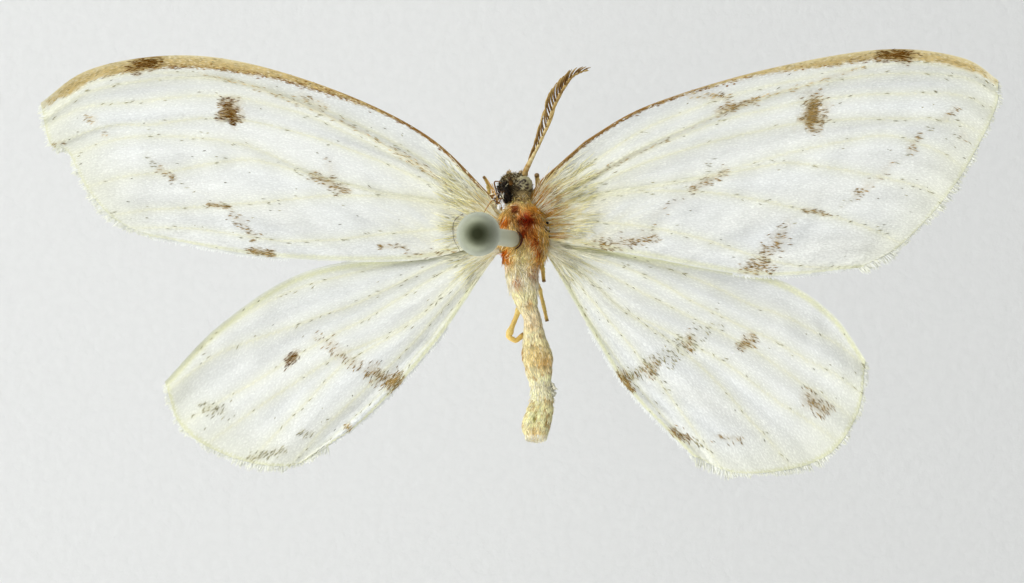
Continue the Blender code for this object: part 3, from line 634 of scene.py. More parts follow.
def smooth_curve(points, count):
    """A smooth curve through the points, sampled evenly along its length."""
    p = np.array(points, float)
    ends = np.vstack([2 * p[0] - p[1], p, 2 * p[-1] - p[-2]])
    t = np.linspace(0, 1, CURVE_STEPS, endpoint=False)[:, None]
    parts = [0.5 * (2 * b + (c - a) * t + (2 * a - 5 * b + 4 * c - d) * t ** 2
                    + (3 * b - a - 3 * c + d) * t ** 3)
             for a, b, c, d in zip(ends, ends[1:], ends[2:], ends[3:])]
    curve = np.vstack([*parts, p[-1:]])
    along = np.concatenate([[0], np.cumsum(np.linalg.norm(np.diff(curve, axis=0), axis=1))])
    wanted = np.linspace(0, along[-1], count)
    return np.column_stack([np.interp(wanted, along, column) for column in curve.T])


def unit(vectors):
    return vectors / np.maximum(np.linalg.norm(vectors, axis=-1, keepdims=True), 1e-9)


def turns(count):
    return np.linspace(0, 2 * math.pi, count, endpoint=False)


def sweep(forward, side, normal, sway, rise=0.0):
    """Directions of scales or hairs: forward, turned sideways by sway and up by rise."""
    sway, rise = (np.broadcast_to(part, len(forward))[:, None] for part in (sway, rise))
    return unit(forward + side * sway + normal * rise)


def on_map(across, along, span=MAP_SPAN, start=0.0):
    """Places on the unwrap from shares across and along a skin."""
    return np.column_stack([MAP_MARGIN + MAP_SPAN * across, MAP_MARGIN + span * along + start])


def wing_height(points):
    return np.array(points) + UP * WING_Z


def ring_faces(rings, sides):
    """Triangles of a skin through rings of points, closed at both ends by middle points after them."""
    side = np.arange(sides)
    following = (side + 1) % sides
    starts = sides * np.arange(rings - 1)[:, None]
    a, b = ((starts + place).ravel() for place in (side, following))
    first = np.full(sides, rings * sides)
    last = (rings - 1) * sides
    corners = ((a, b, b + sides), (a, b + sides, a + sides), (first, following, side),
               (first + 1, last + side, last + following))
    return np.vstack([np.column_stack(three) for three in corners])


def tube_frame(line):
    """Directions along a line, across it and up from it, at each of its points."""
    along = unit(np.gradient(line, axis=0))
    across = unit(np.cross(along, UP) + NEARLY_NONE)
    return along, across, unit(np.cross(across, along))


def ball(centre, radius, rings, sides, flat, rough, layer):
    """A closed round body, pressed by flat and roughened."""
    h, a = np.meshgrid(np.linspace(0.04, math.pi - 0.04, rings), turns(sides), indexing="ij")
    x, y = np.sin(h) * np.cos(a), np.sin(h) * np.sin(a)
    swell = radius * (1 + rough * noise(x * 3 + h, y * 3, 0.5, layer))
    shell = (np.stack([x, y, np.cos(h)], axis=-1) * swell[..., None] * flat).reshape(-1, 3) + centre
    ends = [shell[:sides].mean(0), shell[-sides:].mean(0)]
    return np.vstack([shell, ends]), ring_faces(rings, sides)[:, ::-1]


LEAF_FACES = np.array([(0, 1, 4), (1, 3, 4), (3, 2, 4), (2, 0, 4),
                       (1, 0, 5), (3, 1, 5), (2, 3, 5), (0, 2, 5)])
LEAF_PLACES = np.array([(-0.5, 0.0), (0.0, -0.5), (0.0, 0.5), (0.5, 0.0), (0.1, 0.1), (-0.1, -0.1)])
HAIR_RINGS = 3
HAIR_SIDES = 3
HAIR_TAPER = 0.75


class Heap:
    """Shapes gathered into one mesh, each point with its tint and, in a coat, its place on the unwrap."""

    def __init__(self):
        self.points = []
        self.faces = []
        self.tints = []
        self.places = []
        self.size = 0

    def add(self, points, faces, tints=None, places=None):
        self.points.append(points)
        self.faces.append(faces + self.size)
        if tints is not None:
            self.tints.append(np.broadcast_to(np.asarray(tints, float), points.shape))
        if places is not None:
            self.places.append(places)
        self.size += len(points)

    def add_each(self, points, faces, pattern, tints, places):
        """Many small shapes, a row of points each, with a tint and a patch on the unwrap for each."""
        count, corners = points.shape[:2]
        all_faces = faces[None] + corners * np.arange(count)[:, None, None]
        if places is not None:
            places = (places[:, None] + PATCH_SIZE * pattern[None]).reshape(-1, 2)
        tints = np.repeat(np.broadcast_to(tints, (count, 3)), corners, axis=0)
        self.add(points.reshape(-1, 3), all_faces.reshape(-1, 3), tints, places)

    def add_leaves(self, roots, lie, up, lengths, widths, thickness, tints, places=None):
        """Flat closed scales: root, two sides, tip and a middle point above and below."""
        across = unit(np.cross(up, lie))
        lengths, widths = (np.broadcast_to(part, len(roots))[:, None] for part in (lengths, widths))
        middle = roots + lie * lengths * LEAF_WIDEST
        corners = [roots, middle + across * widths / 2, middle - across * widths / 2, roots + lie * lengths,
                   middle + up * thickness, middle - up * thickness]
        self.add_each(np.stack(corners, axis=1), LEAF_FACES, LEAF_PLACES, tints, places)

    def add_hairs(self, roots, lie, up, lengths, radius, rise, sway, tints, places=None):
        """Tapered hairs of three sides: rings of points and a tip, bent up and sideways."""
        across = unit(np.cross(up, lie))
        lengths, rise, sway = (np.broadcast_to(part, len(roots))[:, None] for part in (lengths, rise, sway))
        shells = []
        pattern = []
        for ring in range(HAIR_RINGS):
            share = ring / HAIR_RINGS
            middle = roots + (lie * share + up * rise * share + across * sway * share ** 2) * lengths
            for angle in turns(HAIR_SIDES):
                thick = radius * (1 - HAIR_TAPER * share ** 2)
                shells.append(middle + (across * math.cos(angle) + up * math.sin(angle)) * thick)
                pattern.append((share - 0.5, 0.4 * math.cos(angle)))
        shells.append(roots + (lie + up * rise + across * sway) * lengths)
        pattern.append((0.5, 0.0))
        tip = HAIR_RINGS * HAIR_SIDES
        faces = [(0, 2, 1)]
        for start in range(0, tip, HAIR_SIDES):
            for corner in range(HAIR_SIDES):
                a, b = start + corner, start + (corner + 1) % HAIR_SIDES
                if start + HAIR_SIDES == tip:
                    faces.append((a, b, tip))
                else:
                    faces += [(a, b, b + HAIR_SIDES), (a, b + HAIR_SIDES, a + HAIR_SIDES)]
        self.add_each(np.stack(shells, axis=1), np.array(faces), np.array(pattern), tints, places)

    def add_shell(self, rings, ends, tints, end_tints):
        """A closed skin through rings of points, tinted ring by ring, with a middle point at each end."""
        count, sides = rings.shape[:2]
        tints = np.vstack([np.repeat(tints, sides, axis=0), end_tints])
        self.add(np.vstack([rings.reshape(-1, 3), ends]), ring_faces(count, sides), tints)

    def add_tube(self, line, radii, tints, sides, flat=1.0, ends=None):
        """A closed tube along a line, its radius eased along it, tinted along it and at its two ends."""
        line = np.asarray(line, float)
        steps = np.linspace(0, 1, len(line))
        radii = np.interp(steps, np.linspace(0, 1, len(radii)), radii)
        across, lift = (part[:, None] for part in tube_frame(line)[1:])
        angles = turns(sides)[None, :, None]
        ring = np.cos(angles) * across + flat * np.sin(angles) * lift
        tints = np.broadcast_to(np.asarray(tints, float), line.shape)
        ends = tints[[0, -1]] if ends is None else ends
        self.add_shell(line[:, None] + ring * radii[:, None, None], line[[0, -1]], tints, ends)

    def piece(self, name, surface, slot, replaced=(), smooth=True):
        """The gathered shapes as one piece of the model, on the one body."""
        points = np.vstack(self.points) * MM
        faces = np.vstack(self.faces).astype(np.int32)
        mesh = bpy.data.meshes.new(name)
        mesh.vertices.add(len(points))
        mesh.vertices.foreach_set("co", points.ravel())
        mesh.loops.add(faces.size)
        mesh.loops.foreach_set("vertex_index", faces.ravel())
        mesh.polygons.add(len(faces))
        mesh.polygons.foreach_set("loop_start", np.arange(0, faces.size, 3, dtype=np.int32))
        mesh.update(calc_edges=True)
        mesh.polygons.foreach_set("use_smooth", np.full(len(faces), smooth))
        if self.tints:
            colour = np.column_stack([linear(np.vstack(self.tints)), np.ones(len(points))])
            mesh.attributes.new("tint", "FLOAT_COLOR", "POINT").data.foreach_set("color", colour.ravel())
        if self.places:
            corners = np.vstack(self.places)[faces.ravel()]
            mesh.uv_layers.new(name="OFBake").data.foreach_set("uv", corners.ravel())
        mesh.materials.append(surface)
        piece = bpy.data.objects.new(name, mesh)
        bpy.context.scene.collection.objects.link(piece)
        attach(piece, "root")
        if replaced:
            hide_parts(*replaced)
        return piece


def set_inputs(node, values):
    for name, value in values.items():
        node.inputs[name].default_value = value


def textured(name, roughness, grain, size, bump=0.0, tone=None, alpha=1.0, metallic=0.0, specular=0.2):
    """A surface in its mesh's own tint, or one tone, with fine light and dark grain and a slight bump."""
    surface = bpy.data.materials.new(name)
    surface.use_nodes = True
    nodes = surface.node_tree.nodes
    links = surface.node_tree.links
    shader = nodes["Principled BSDF"]
    set_inputs(shader, {"Roughness": roughness, "Alpha": alpha, "Metallic": metallic,
                        "Specular IOR Level": specular})
    where = nodes.new("ShaderNodeTexCoord")
    speckle = nodes.new("ShaderNodeTexNoise")
    set_inputs(speckle, {"Scale": 1.0 / (size * MM), "Detail": 3.0})
    links.new(where.outputs["Object"], speckle.inputs["Vector"])
    spread = nodes.new("ShaderNodeMapRange")
    set_inputs(spread, {"From Min": 0.3, "From Max": 0.7, "To Min": 1.0 - grain, "To Max": 1.0})
    links.new(speckle.outputs["Fac"], spread.inputs["Value"])
    mixer = nodes.new("ShaderNodeMix")
    mixer.data_type = "RGBA"
    mixer.blend_type = "MULTIPLY"
    mixer.inputs["Factor"].default_value = 1.0
    if tone is None:
        tint = nodes.new("ShaderNodeAttribute")
        tint.attribute_name = "tint"
        links.new(tint.outputs["Color"], mixer.inputs["A"])
    else:
        mixer.inputs["A"].default_value = (*linear(tone), 1.0)
    links.new(spread.outputs["Result"], mixer.inputs["B"])
    links.new(mixer.outputs["Result"], shader.inputs["Base Color"])
    if bump:
        relief = nodes.new("ShaderNodeBump")
        set_inputs(relief, {"Strength": bump, "Distance": size * MM / 2})
        links.new(speckle.outputs["Fac"], relief.inputs["Height"])
        links.new(relief.outputs["Normal"], shader.inputs["Normal"])
    return surface


class Wing:
    """One wing by (u, v): u from the root to the margin, v from the leading to the hind edge."""

    def __init__(self, name):
        self.name = name
        self.fore = name.startswith("forewing")
        self.slot = "forewing_membrane" if self.fore else "hindwing_membrane"
        self.index = list(OUTLINES).index(name)
        self.level = WING_Z + (WING_LEVEL if self.fore else -WING_LEVEL)
        lead, hind = (smooth_curve(OUTLINES[name][edge], FINE_U)[:, None] for edge in ("lead", "hind"))
        outer = smooth_curve(OUTLINES[name]["outer"], FINE_V)[None]
        self.stations = np.linspace(0, 1, FINE_U)
        u = self.stations[:, None, None]
        v = np.linspace(0, 1, FINE_V)[None, :, None]
        tip = lead[-1] * (1 - v) + hind[-1] * v
        self.grid = (1 - v) * lead + v * hind + u * (outer - tip)
        self.chords = np.linalg.norm(np.diff(self.grid, axis=1), axis=2).sum(1)
        self.length = np.linalg.norm(np.diff(self.grid[:, FINE_V // 2], axis=0), axis=1).sum()
        self.rows = {vein: self.vein_row(values) for vein, values in VEINS[name].items()}
        self.relief = self.fold_grid()

    def vein_row(self, values):
        """A vein's v at each fine u, with the corners at the stations rounded."""
        row = np.interp(self.stations, VEIN_STATIONS, values)
        window = np.hanning(2 * VEIN_ROUNDING + 1)
        return np.convolve(np.pad(row, VEIN_ROUNDING, mode="edge"), window / window.sum(), mode="valid")

    def fold_grid(self):
        """Height of the membrane over its plane: veins on ridges and in grooves, sagging cells between."""
        stack = np.maximum.accumulate(np.stack(list(self.rows.values()), axis=1), axis=1)
        levels = np.array([LEAD_HEIGHT, *(VEIN_HEIGHTS[vein] for vein in self.rows), 0.0])
        relief = np.zeros((FINE_U, FINE_V))
        for i, row in enumerate(stack):
            places = np.concatenate([[0.0], row, [1.0]])
            middles = (places[1:] + places[:-1]) / 2
            widths = np.diff(places) * self.chords[i]
            signs = np.where(np.arange(len(middles)) % 2 == 0, -1.0, 1.0)
            sags = (levels[1:] + levels[:-1]) / 2 + signs * CELL_SAG * np.minimum(widths, 1.0)
            both = np.concatenate([places, middles])
            order = np.argsort(both, kind="stable")
            heights = np.concatenate([levels, sags])[order]
            relief[i] = np.interp(np.linspace(0, 1, FINE_V), both[order], heights)
        return relief * ease(self.stations, 0, FOLD_FADE)[:, None]

    def read(self, values, u, v):
        """A grid's values at (u, v)."""
        gu, gv = clamp(u) * (FINE_U - 1), clamp(v) * (FINE_V - 1)
        iu = np.minimum(gu.astype(int), FINE_U - 2)
        iv = np.minimum(gv.astype(int), FINE_V - 2)
        fu, fv = ((part[..., None] if values.ndim == 3 else part) for part in (gu - iu, gv - iv))
        near, far = (values[iu, iv + k] * (1 - fu) + values[iu + 1, iv + k] * fu for k in (0, 1))
        return near * (1 - fv) + far * fv

    def draws(self, start, *more):
        return draws(start + self.index, *more)

    def chord(self, u):
        return np.interp(u, self.stations, self.chords)

    def vein_v(self, vein, u):
        return np.interp(u, self.stations, self.rows[vein])

    def grain(self, kind, u, v):
        stretch, size, layer = WING_GRAINS[kind]
        return noise(u * self.length / stretch, v * self.chord(u), size, layer)

    def point(self, u, v, lift=0.0):
        """The membrane's middle at (u, v), raised by lift."""
        flat = self.read(self.grid, u, v)
        wrinkle = WRINKLE_HEIGHT * self.grain("wrinkle", u, v) * ease(u, 0, WRINKLE_FADE)
        z = self.level + WING_RISE * np.abs(flat[..., 0]) + self.read(self.relief, u, v) + wrinkle + lift
        return np.concatenate([flat, z[..., None]], axis=-1)

    def over(self, x, y, lift):
        """The point above the wing at a place seen from above, raised by lift."""
        gaps = np.hypot(self.grid[..., 0] - x, self.grid[..., 1] - y)
        row, column = np.unravel_index(gaps.argmin(), gaps.shape)
        near = self.point(np.array([row / (FINE_U - 1)]), np.array([column / (FINE_V - 1)]), lift)
        return x, y, near[0, 2]

    def edge_line(self, u, v):
        """Direction across the wing at (u, v), towards the hind edge."""
        low, high = np.maximum(v - STEP_ASIDE, 0), np.minimum(v + STEP_ASIDE, 1)
        return unit(self.point(u, high) - self.point(u, low))

    def frame_at(self, u, v):
        """Place, direction outwards along the veins, sideways direction and normal at (u, v)."""
        low, high = np.maximum(u - STEP_ASIDE, 0), np.minimum(u + STEP_ASIDE, 1)
        out = unit(self.point(high, v) - self.point(low, v))
        normal = unit(np.cross(out, self.edge_line(u, v)))
        normal = normal * np.sign(normal[..., 2:3])
        return self.point(u, v), out, np.cross(normal, out), normal

    def vein_distance(self, u, v):
        """Distance in mm from the nearest vein."""
        return np.min([np.abs(v - self.vein_v(vein, u)) for vein in self.rows], axis=0) * self.chord(u)

    def mark_layers(self, x, y):
        """Each mark's strength at a place, ragged at its edge, and its colour."""
        for line, half_width, strength, colour in MARKS[self.name]:
            distance = np.full(x.shape, 1e9)
            for (ax, ay), (bx, by) in zip(line, line[1:]):
                dx, dy = bx - ax, by - ay
                share = clamp(((x - ax) * dx + (y - ay) * dy) / (dx ** 2 + dy ** 2))
                distance = np.minimum(distance, np.hypot(x - ax - share * dx, y - ay - share * dy))
            rough = half_width * (1.0 + 0.5 * noise(x, y, MARK_EDGE_SIZE, 7))
            yield strength * clamp(1.15 * (1 - distance / (1.7 * rough))), MARK_COLOURS[colour]

    def ground(self, u, v):
        """The wing's colour without its brown marks, with painted shade of its folds over the scales' grain.
        """
        flat = self.read(self.grid, u, v)
        # Painted shade of the folds: bands in a fan along the wing, darker folds towards the margin, streaks
        # and broad bands; the fine grain is the scales' own
        fan = noise(u * self.length / FAN_STRETCH, FAN_FOLDS * v, FAN_SIZE, 17)
        outer = ease(u, *OUTER_SPAN) * clamp(self.grain("outer", u, v))
        shade = 1 + FAN_PAINTED_FOLD_SHADE * fan - OUTER_PAINTED_FOLD_SHADE * outer
        for kind, strength in WING_GRAIN_AND_PAINTED_FOLD_SHADE.items():
            shade = shade + strength * self.grain(kind, u, v)
        colours = shade[..., None] * WHITE + self.grain("soft", u, v)[..., None] * SOFT_WARMTH
        from_vein = self.vein_distance(u, v)
        to_edge = (1 - u) * self.length
        rim = np.minimum(to_edge, (1 - v) * self.chord(u))
        if not self.fore:
            rim = np.minimum(rim, v * self.chord(u))
        for distance, kind in ((from_vein, VEIN_GLOW), (from_vein, VEIN_LINE), (to_edge, EDGE_GLOW),
                               (rim - RIM_PLACE, RIM_LINE[self.fore])):
            colours = veil(colours, distance, kind)
        from_root = np.hypot(flat[..., 0], flat[..., 1] - ROOT_Y)
        rays = clamp(0.45 + 0.75 * self.grain("rays", u, v))
        yellow = ROOT_YELLOW_STRENGTH[self.fore] * bell(from_root, ROOT_YELLOW_REACH) * (0.35 + 0.65 * rays)
        stain = ROOT_STAIN[self.name] * bell(from_root, ROOT_OCHRE_REACH, 3) * (0.15 + 0.85 * rays)
        return blend(blend(colours, ROOT_YELLOW, yellow), ROOT_OCHRE, stain)

    def stripe(self, u, v):
        """Strength of the tan costal stripe and of its darker inner edge."""
        if not self.fore:
            return np.zeros(u.shape), np.zeros(u.shape)
        width = np.interp(u, *STRIPES[self.name])
        depth = v * self.chord(u)
        ragged = width * (1 + 0.12 * self.grain("ragged", u, v))
        inside = clamp((ragged - depth) / STRIPE_SOFTNESS) * ease(u, *STRIPE_END)
        edge = STRIPE_EDGE_STRENGTH[self.name] * bell(depth - STRIPE_EDGE_PLACE * width, STRIPE_EDGE_WIDTH)
        for span in (STRIPE_EDGE_START, STRIPE_EDGE_END, STRIPE_EDGE_FADE):
            edge = edge * ease(u, *span)
        root_line = ease(u, *ROOT_LINE_END) * ease(depth, *ROOT_LINE_DEPTH)
        return inside, np.maximum(edge, root_line)

    def stripe_tone(self, u, v):
        """The stripe's tan, paler along the wing's very edge."""
        pale = 0.75 * ease(u, *STRIPE_PALE_START) * ease(v * self.chord(u), STRIPE_PALE_DEPTH, 0)
        return blend(STRIPE_TAN, STRIPE_CREAM, pale)

    def tint(self, u, v):
        """The wing's colour with its marks laid on."""
        flat = self.read(self.grid, u, v)
        inside, edge = self.stripe(u, v)
        colours = blend(self.ground(u, v), self.stripe_tone(u, v), 0.9 * inside)
        colours = blend(colours, STRIPE_EDGE, 0.8 * edge)
        for strength, colour in self.mark_layers(flat[..., 0], flat[..., 1]):
            colours = blend(colours, colour, MARK_SHARE * strength ** MARK_POWER)
        return colours


def membrane(wing, surface):
    """The thin wing itself: a closed sheet with folds, coloured by its marks."""
    u, v = np.meshgrid(np.linspace(0, MEMBRANE_END, MEMBRANE_U), np.linspace(0, 1, MEMBRANE_V), indexing="ij")
    top, under = (wing.point(u, v, side * MEMBRANE_THICKNESS / 2).reshape(-1, 3) for side in (1, -1))
    index = np.arange(u.size).reshape(u.shape)
    a, b, c, d = (part.ravel() for part in (index[:-1, :-1], index[1:, :-1], index[1:, 1:], index[:-1, 1:]))
    upper = np.vstack([np.column_stack([a, b, c]), np.column_stack([a, c, d])])
    rim = np.concatenate([index[:, 0], index[-1, 1:], index[-2::-1, -1], index[0, -2:0:-1]])
    following = np.roll(rim, -1)
    wall = np.vstack([np.column_stack([following, rim, rim + u.size]),
                      np.column_stack([following, rim + u.size, following + u.size])])
    faces = np.vstack([upper, upper[:, ::-1] + u.size, wall])
    if np.cross(top[b[0]] - top[a[0]], top[c[0]] - top[a[0]])[2] < 0:
        faces = faces[:, ::-1]
    tints = wing.tint(u, v).reshape(-1, 3)
    heap = Heap()
    heap.add(np.vstack([top, under]), faces, np.vstack([tints, tints]))
    piece = heap.piece(wing.name + "_membrane", surface, wing.slot, [wing.name])
    piece.data.set_sharp_from_angle(angle=RIM_CORNER)


def vein_lines(wing, surface):
    """The veins as fine tubes in the membrane, and the thicker costa along the leading edge."""
    heap = Heap()
    u = np.linspace(0.0, VEIN_END, VEIN_STEPS)
    for vein in wing.rows:
        v = np.clip(wing.vein_v(vein, u), VEIN_LIFT, VEIN_END)
        heap.add_tube(wing.point(u, v, VEIN_LIFT), (VEIN_RADIUS, VEIN_RADIUS * VEIN_TIP_SHARE),
                      blend(wing.tint(u, v), VEIN_CREAM, 0.1), 8, 0.75)
    v = np.full(u.shape, COSTA_V)
    heap.add_tube(wing.point(u, v), (COSTA_RADIUS, COSTA_RADIUS, COSTA_RADIUS / 2), wing.tint(u, v), 8, 0.8)
    heap.piece(wing.name + "_veins", surface, wing.slot)


def scale_places(wing, steps, rng):
    """(u, v) of scales in staggered rows across the wing."""
    row_step, side_step = steps
    places = []
    rows = int(wing.length / row_step)
    for row in range(rows):
        base_u = (row + 0.5) / rows
        count = max(2, int(wing.chord(base_u) / side_step))
        v = (np.arange(count) + 0.5 * (row % 2) + rng.uniform(-0.5, 0.5, count)) / count
        places.append((base_u + rng.uniform(-0.8, 0.8, count) / rows, v))
    u, v = np.hstack(places)
    keep = (v > 0.004) & (v < 0.996) & (u > 0.01) & (u < VEIN_END)
    return u[keep], v[keep]


def wing_scales(wing, surface, upper):
    """A coat of scales on one face of the wing: white ones, and brown ones where the marks are."""
    rng = wing.draws(10, int(upper))
    u, v = scale_places(wing, UPPER_STEPS if upper else UNDER_STEPS, rng)
    here, out, side, normal = wing.frame_at(u, v)
    if not upper:
        side, normal = -side, -normal
    count = len(u)
    lie = sweep(out, side, normal, rng.normal(0, SCALE_SWAY, count), SCALE_LIFT)
    lengths = SCALE_LENGTH * rng.uniform(*SCALE_VARIETY, count) * (1.0 if upper else UNDER_LONGER)
    widths = SCALE_WIDTH * rng.uniform(*SCALE_VARIETY, count) * (1.0 if upper else UNDER_WIDER)
    colours = wing.ground(u, v) * (1 + rng.normal(0, 0.014, count))[:, None]
    inside, edge = wing.stripe(u, v)
    colours = blend(colours, wing.stripe_tone(u, v), inside * rng.uniform(0.6, 1.0, count))
    edged = rng.random(count) < 0.8 * edge
    colours = np.where(edged[:, None], blend(colours, STRIPE_EDGE, rng.uniform(0.5, 1, count)), colours)
    for strength, colour in wing.mark_layers(here[:, 0], here[:, 1]):
        colours = blend(colours, colour, 0.8 * strength ** MARK_POWER * rng.uniform(0.5, 1.0, count))
    dust = rng.random(count) < DUST_SHARE
    colours = np.where(dust[:, None], rng.uniform(0.55, 1.1, count)[:, None] * MARK_COLOURS["grey"], colours)
    widths = np.where(dust, widths * DUST_NARROWER, widths)
    roots = here + normal * (MEMBRANE_THICKNESS / 2 + SCALE_GAP)
    places = on_map(u, v, MAP_HALF, 0.0 if upper else 0.5)
    heap = Heap()
    heap.add_leaves(roots, lie, normal, lengths, widths, SCALE_THICKNESS, colours, places)
    heap.piece(wing.name + ("_scales" if upper else "_scales_under"), surface, wing.slot, smooth=False)


def mark_strokes(wing, surface):
    """Fine brown scales: thick in a strong mark, scattered at its edges and along the stripe and veins."""
    rng = wing.draws(20)
    u, v = scale_places(wing, STROKE_STEPS, rng)
    flat = wing.read(wing.grid, u, v)
    kept = np.zeros(len(u), bool)
    colours = np.zeros((len(u), 3))
    for strength, colour in wing.mark_layers(flat[:, 0], flat[:, 1]):
        chosen = rng.random(len(u)) < STROKE_SHARE * strength ** 2
        colours = np.where(chosen[:, None], rng.uniform(0.75, 1.15, len(u))[:, None] * colour, colours)
        kept |= chosen
    inside, edge = wing.stripe(u, v)
    by_vein = VEIN_DUST_SHARE * bell(wing.vein_distance(u, v), VEIN_DUST_WIDTH)
    tan = wing.stripe_tone(u, v)
    for share, tone in ((0.35 * inside, tan), (0.6 * edge, STRIPE_EDGE), (by_vein, MARK_COLOURS["grey"])):
        chosen = (rng.random(len(u)) < share) & ~kept
        colours = np.where(chosen[:, None], rng.uniform(0.80, 1.08, len(u))[:, None] * tone, colours)
        kept |= chosen
    u, v, colours = u[kept], v[kept], colours[kept]
    here, out, side, normal = wing.frame_at(u, v)
    count = len(u)
    lie = sweep(out, side, normal, rng.normal(0, STROKE_SWAY, count), 0.03)
    heap = Heap()
    heap.add_leaves(here + normal * (MEMBRANE_THICKNESS / 2 + STROKE_GAP), lie, normal,
                    STROKE_LENGTH * rng.uniform(0.6, 1.2, count), STROKE_WIDTH * rng.uniform(0.7, 1.3, count),
                    SCALE_THICKNESS, colours, on_map(u, v))
    heap.piece(wing.name + "_mark_scales", surface, wing.slot, smooth=False)


def fringe(wing, surface):
    """Ragged rows of hair scales along the outer margin and the end of the hind margin."""
    rng = wing.draws(30)
    heap = Heap()
    margin = np.linalg.norm(np.diff(wing.grid[-1], axis=0), axis=1).sum()
    count = int(2.4 * margin / FRINGE_STEP)
    v = rng.uniform(0.015, 1.0, count)
    u = FRINGE_U + rng.uniform(-0.004, 0.006, count)
    here, out, _, normal = wing.frame_at(u, v)
    edge = wing.edge_line(u, v)
    outward = np.cross(edge, UP)
    outward = unit(outward * np.sign((outward * out).sum(1))[:, None])
    clump = noise(v * margin, v * 0, 0.13, 9)
    worn = np.clip(0.75 + 0.55 * noise(v * margin, v * 0, 0.9, 11) + 0.35 * clump, 0.12, 1.25)
    lie = sweep(0.75 * outward + 0.45 * out, edge, normal, rng.normal(0, 0.14, count) + 0.18 * clump,
                rng.normal(0, 0.10, count))
    lengths = FRINGE_LENGTH * worn * rng.uniform(0.7, 1.2, count)
    widths = FRINGE_WIDTH * rng.uniform(0.6, 1.3, count)
    tints = WHITE + rng.normal(0, 4, count)[:, None] + rng.uniform(-1, 0, count)[:, None] * (0, 1, 16)
    heap.add_leaves(here + normal * 0.005, lie, normal, lengths, widths, FRINGE_THICKNESS, tints,
                    on_map(u, v))
    count = int(0.5 * wing.length / FRINGE_STEP)
    u = rng.uniform(REAR_FRINGE_START[wing.fore], VEIN_END, count)
    v = np.full(count, REAR_FRINGE_V)
    here, out, _, normal = wing.frame_at(u, v)
    rearward = unit(wing.point(u, v) - wing.point(u, v - 0.03))
    lie = sweep(out * rng.uniform(0.5, 0.9, count)[:, None], rearward, normal,
                rng.uniform(0.35, 0.7, count))
    heap.add_leaves(here, lie, normal, FRINGE_LENGTH * rng.uniform(0.3, 0.75, count), FRINGE_WIDTH * 0.8,
                    FRINGE_THICKNESS, WHITE + rng.normal(0, 4, count)[:, None], on_map(u, v))
    heap.piece(wing.name + "_fringe", surface, wing.slot, smooth=False)


def root_hairs(wing, surface):
    """Long ochre and cream hairs that fan from the body over the wing's base along the veins."""
    rng = wing.draws(40)
    count = ROOT_HAIRS[wing.fore]
    u = 0.004 + 0.15 * rng.random(count) ** 1.6
    v = rng.uniform(0.03, 0.97, count)
    near = rng.random(count) < 0.5
    pick = np.stack([wing.vein_v(vein, u) for vein in wing.rows], axis=1)
    chosen = pick[np.arange(count), rng.integers(0, pick.shape[1], count)]
    v = np.where(near, np.clip(chosen + rng.normal(0, 0.02, count), 0.02, 0.98), v)
    here, out, side, normal = wing.frame_at(u, v)
    lie = sweep(out, side, normal, rng.normal(0, 0.10, count), 0.04)
    lengths = rng.uniform(*ROOT_HAIR_LENGTHS, count) * (1 - 2.0 * u)
    warm = ROOT_STAIN[wing.name] * 1.9 * bell(u, 0.055) * rng.random(count)
    colours = blend(ROOT_YELLOW, ROOT_HAIR_WARM, warm)
    colours = blend(colours, ROOT_HAIR_PALE, (rng.random(count) < ROOT_HAIR_PALE_SHARE[wing.fore]) * 0.85)
    heap = Heap()
    heap.add_hairs(here + normal * 0.03, lie, normal, lengths, ROOT_HAIR_RADIUS, 0.02,
                   rng.normal(0, 0.12, count), colours, on_map(u, v))
    heap.piece(wing.name + "_root_hairs", surface, wing.slot)


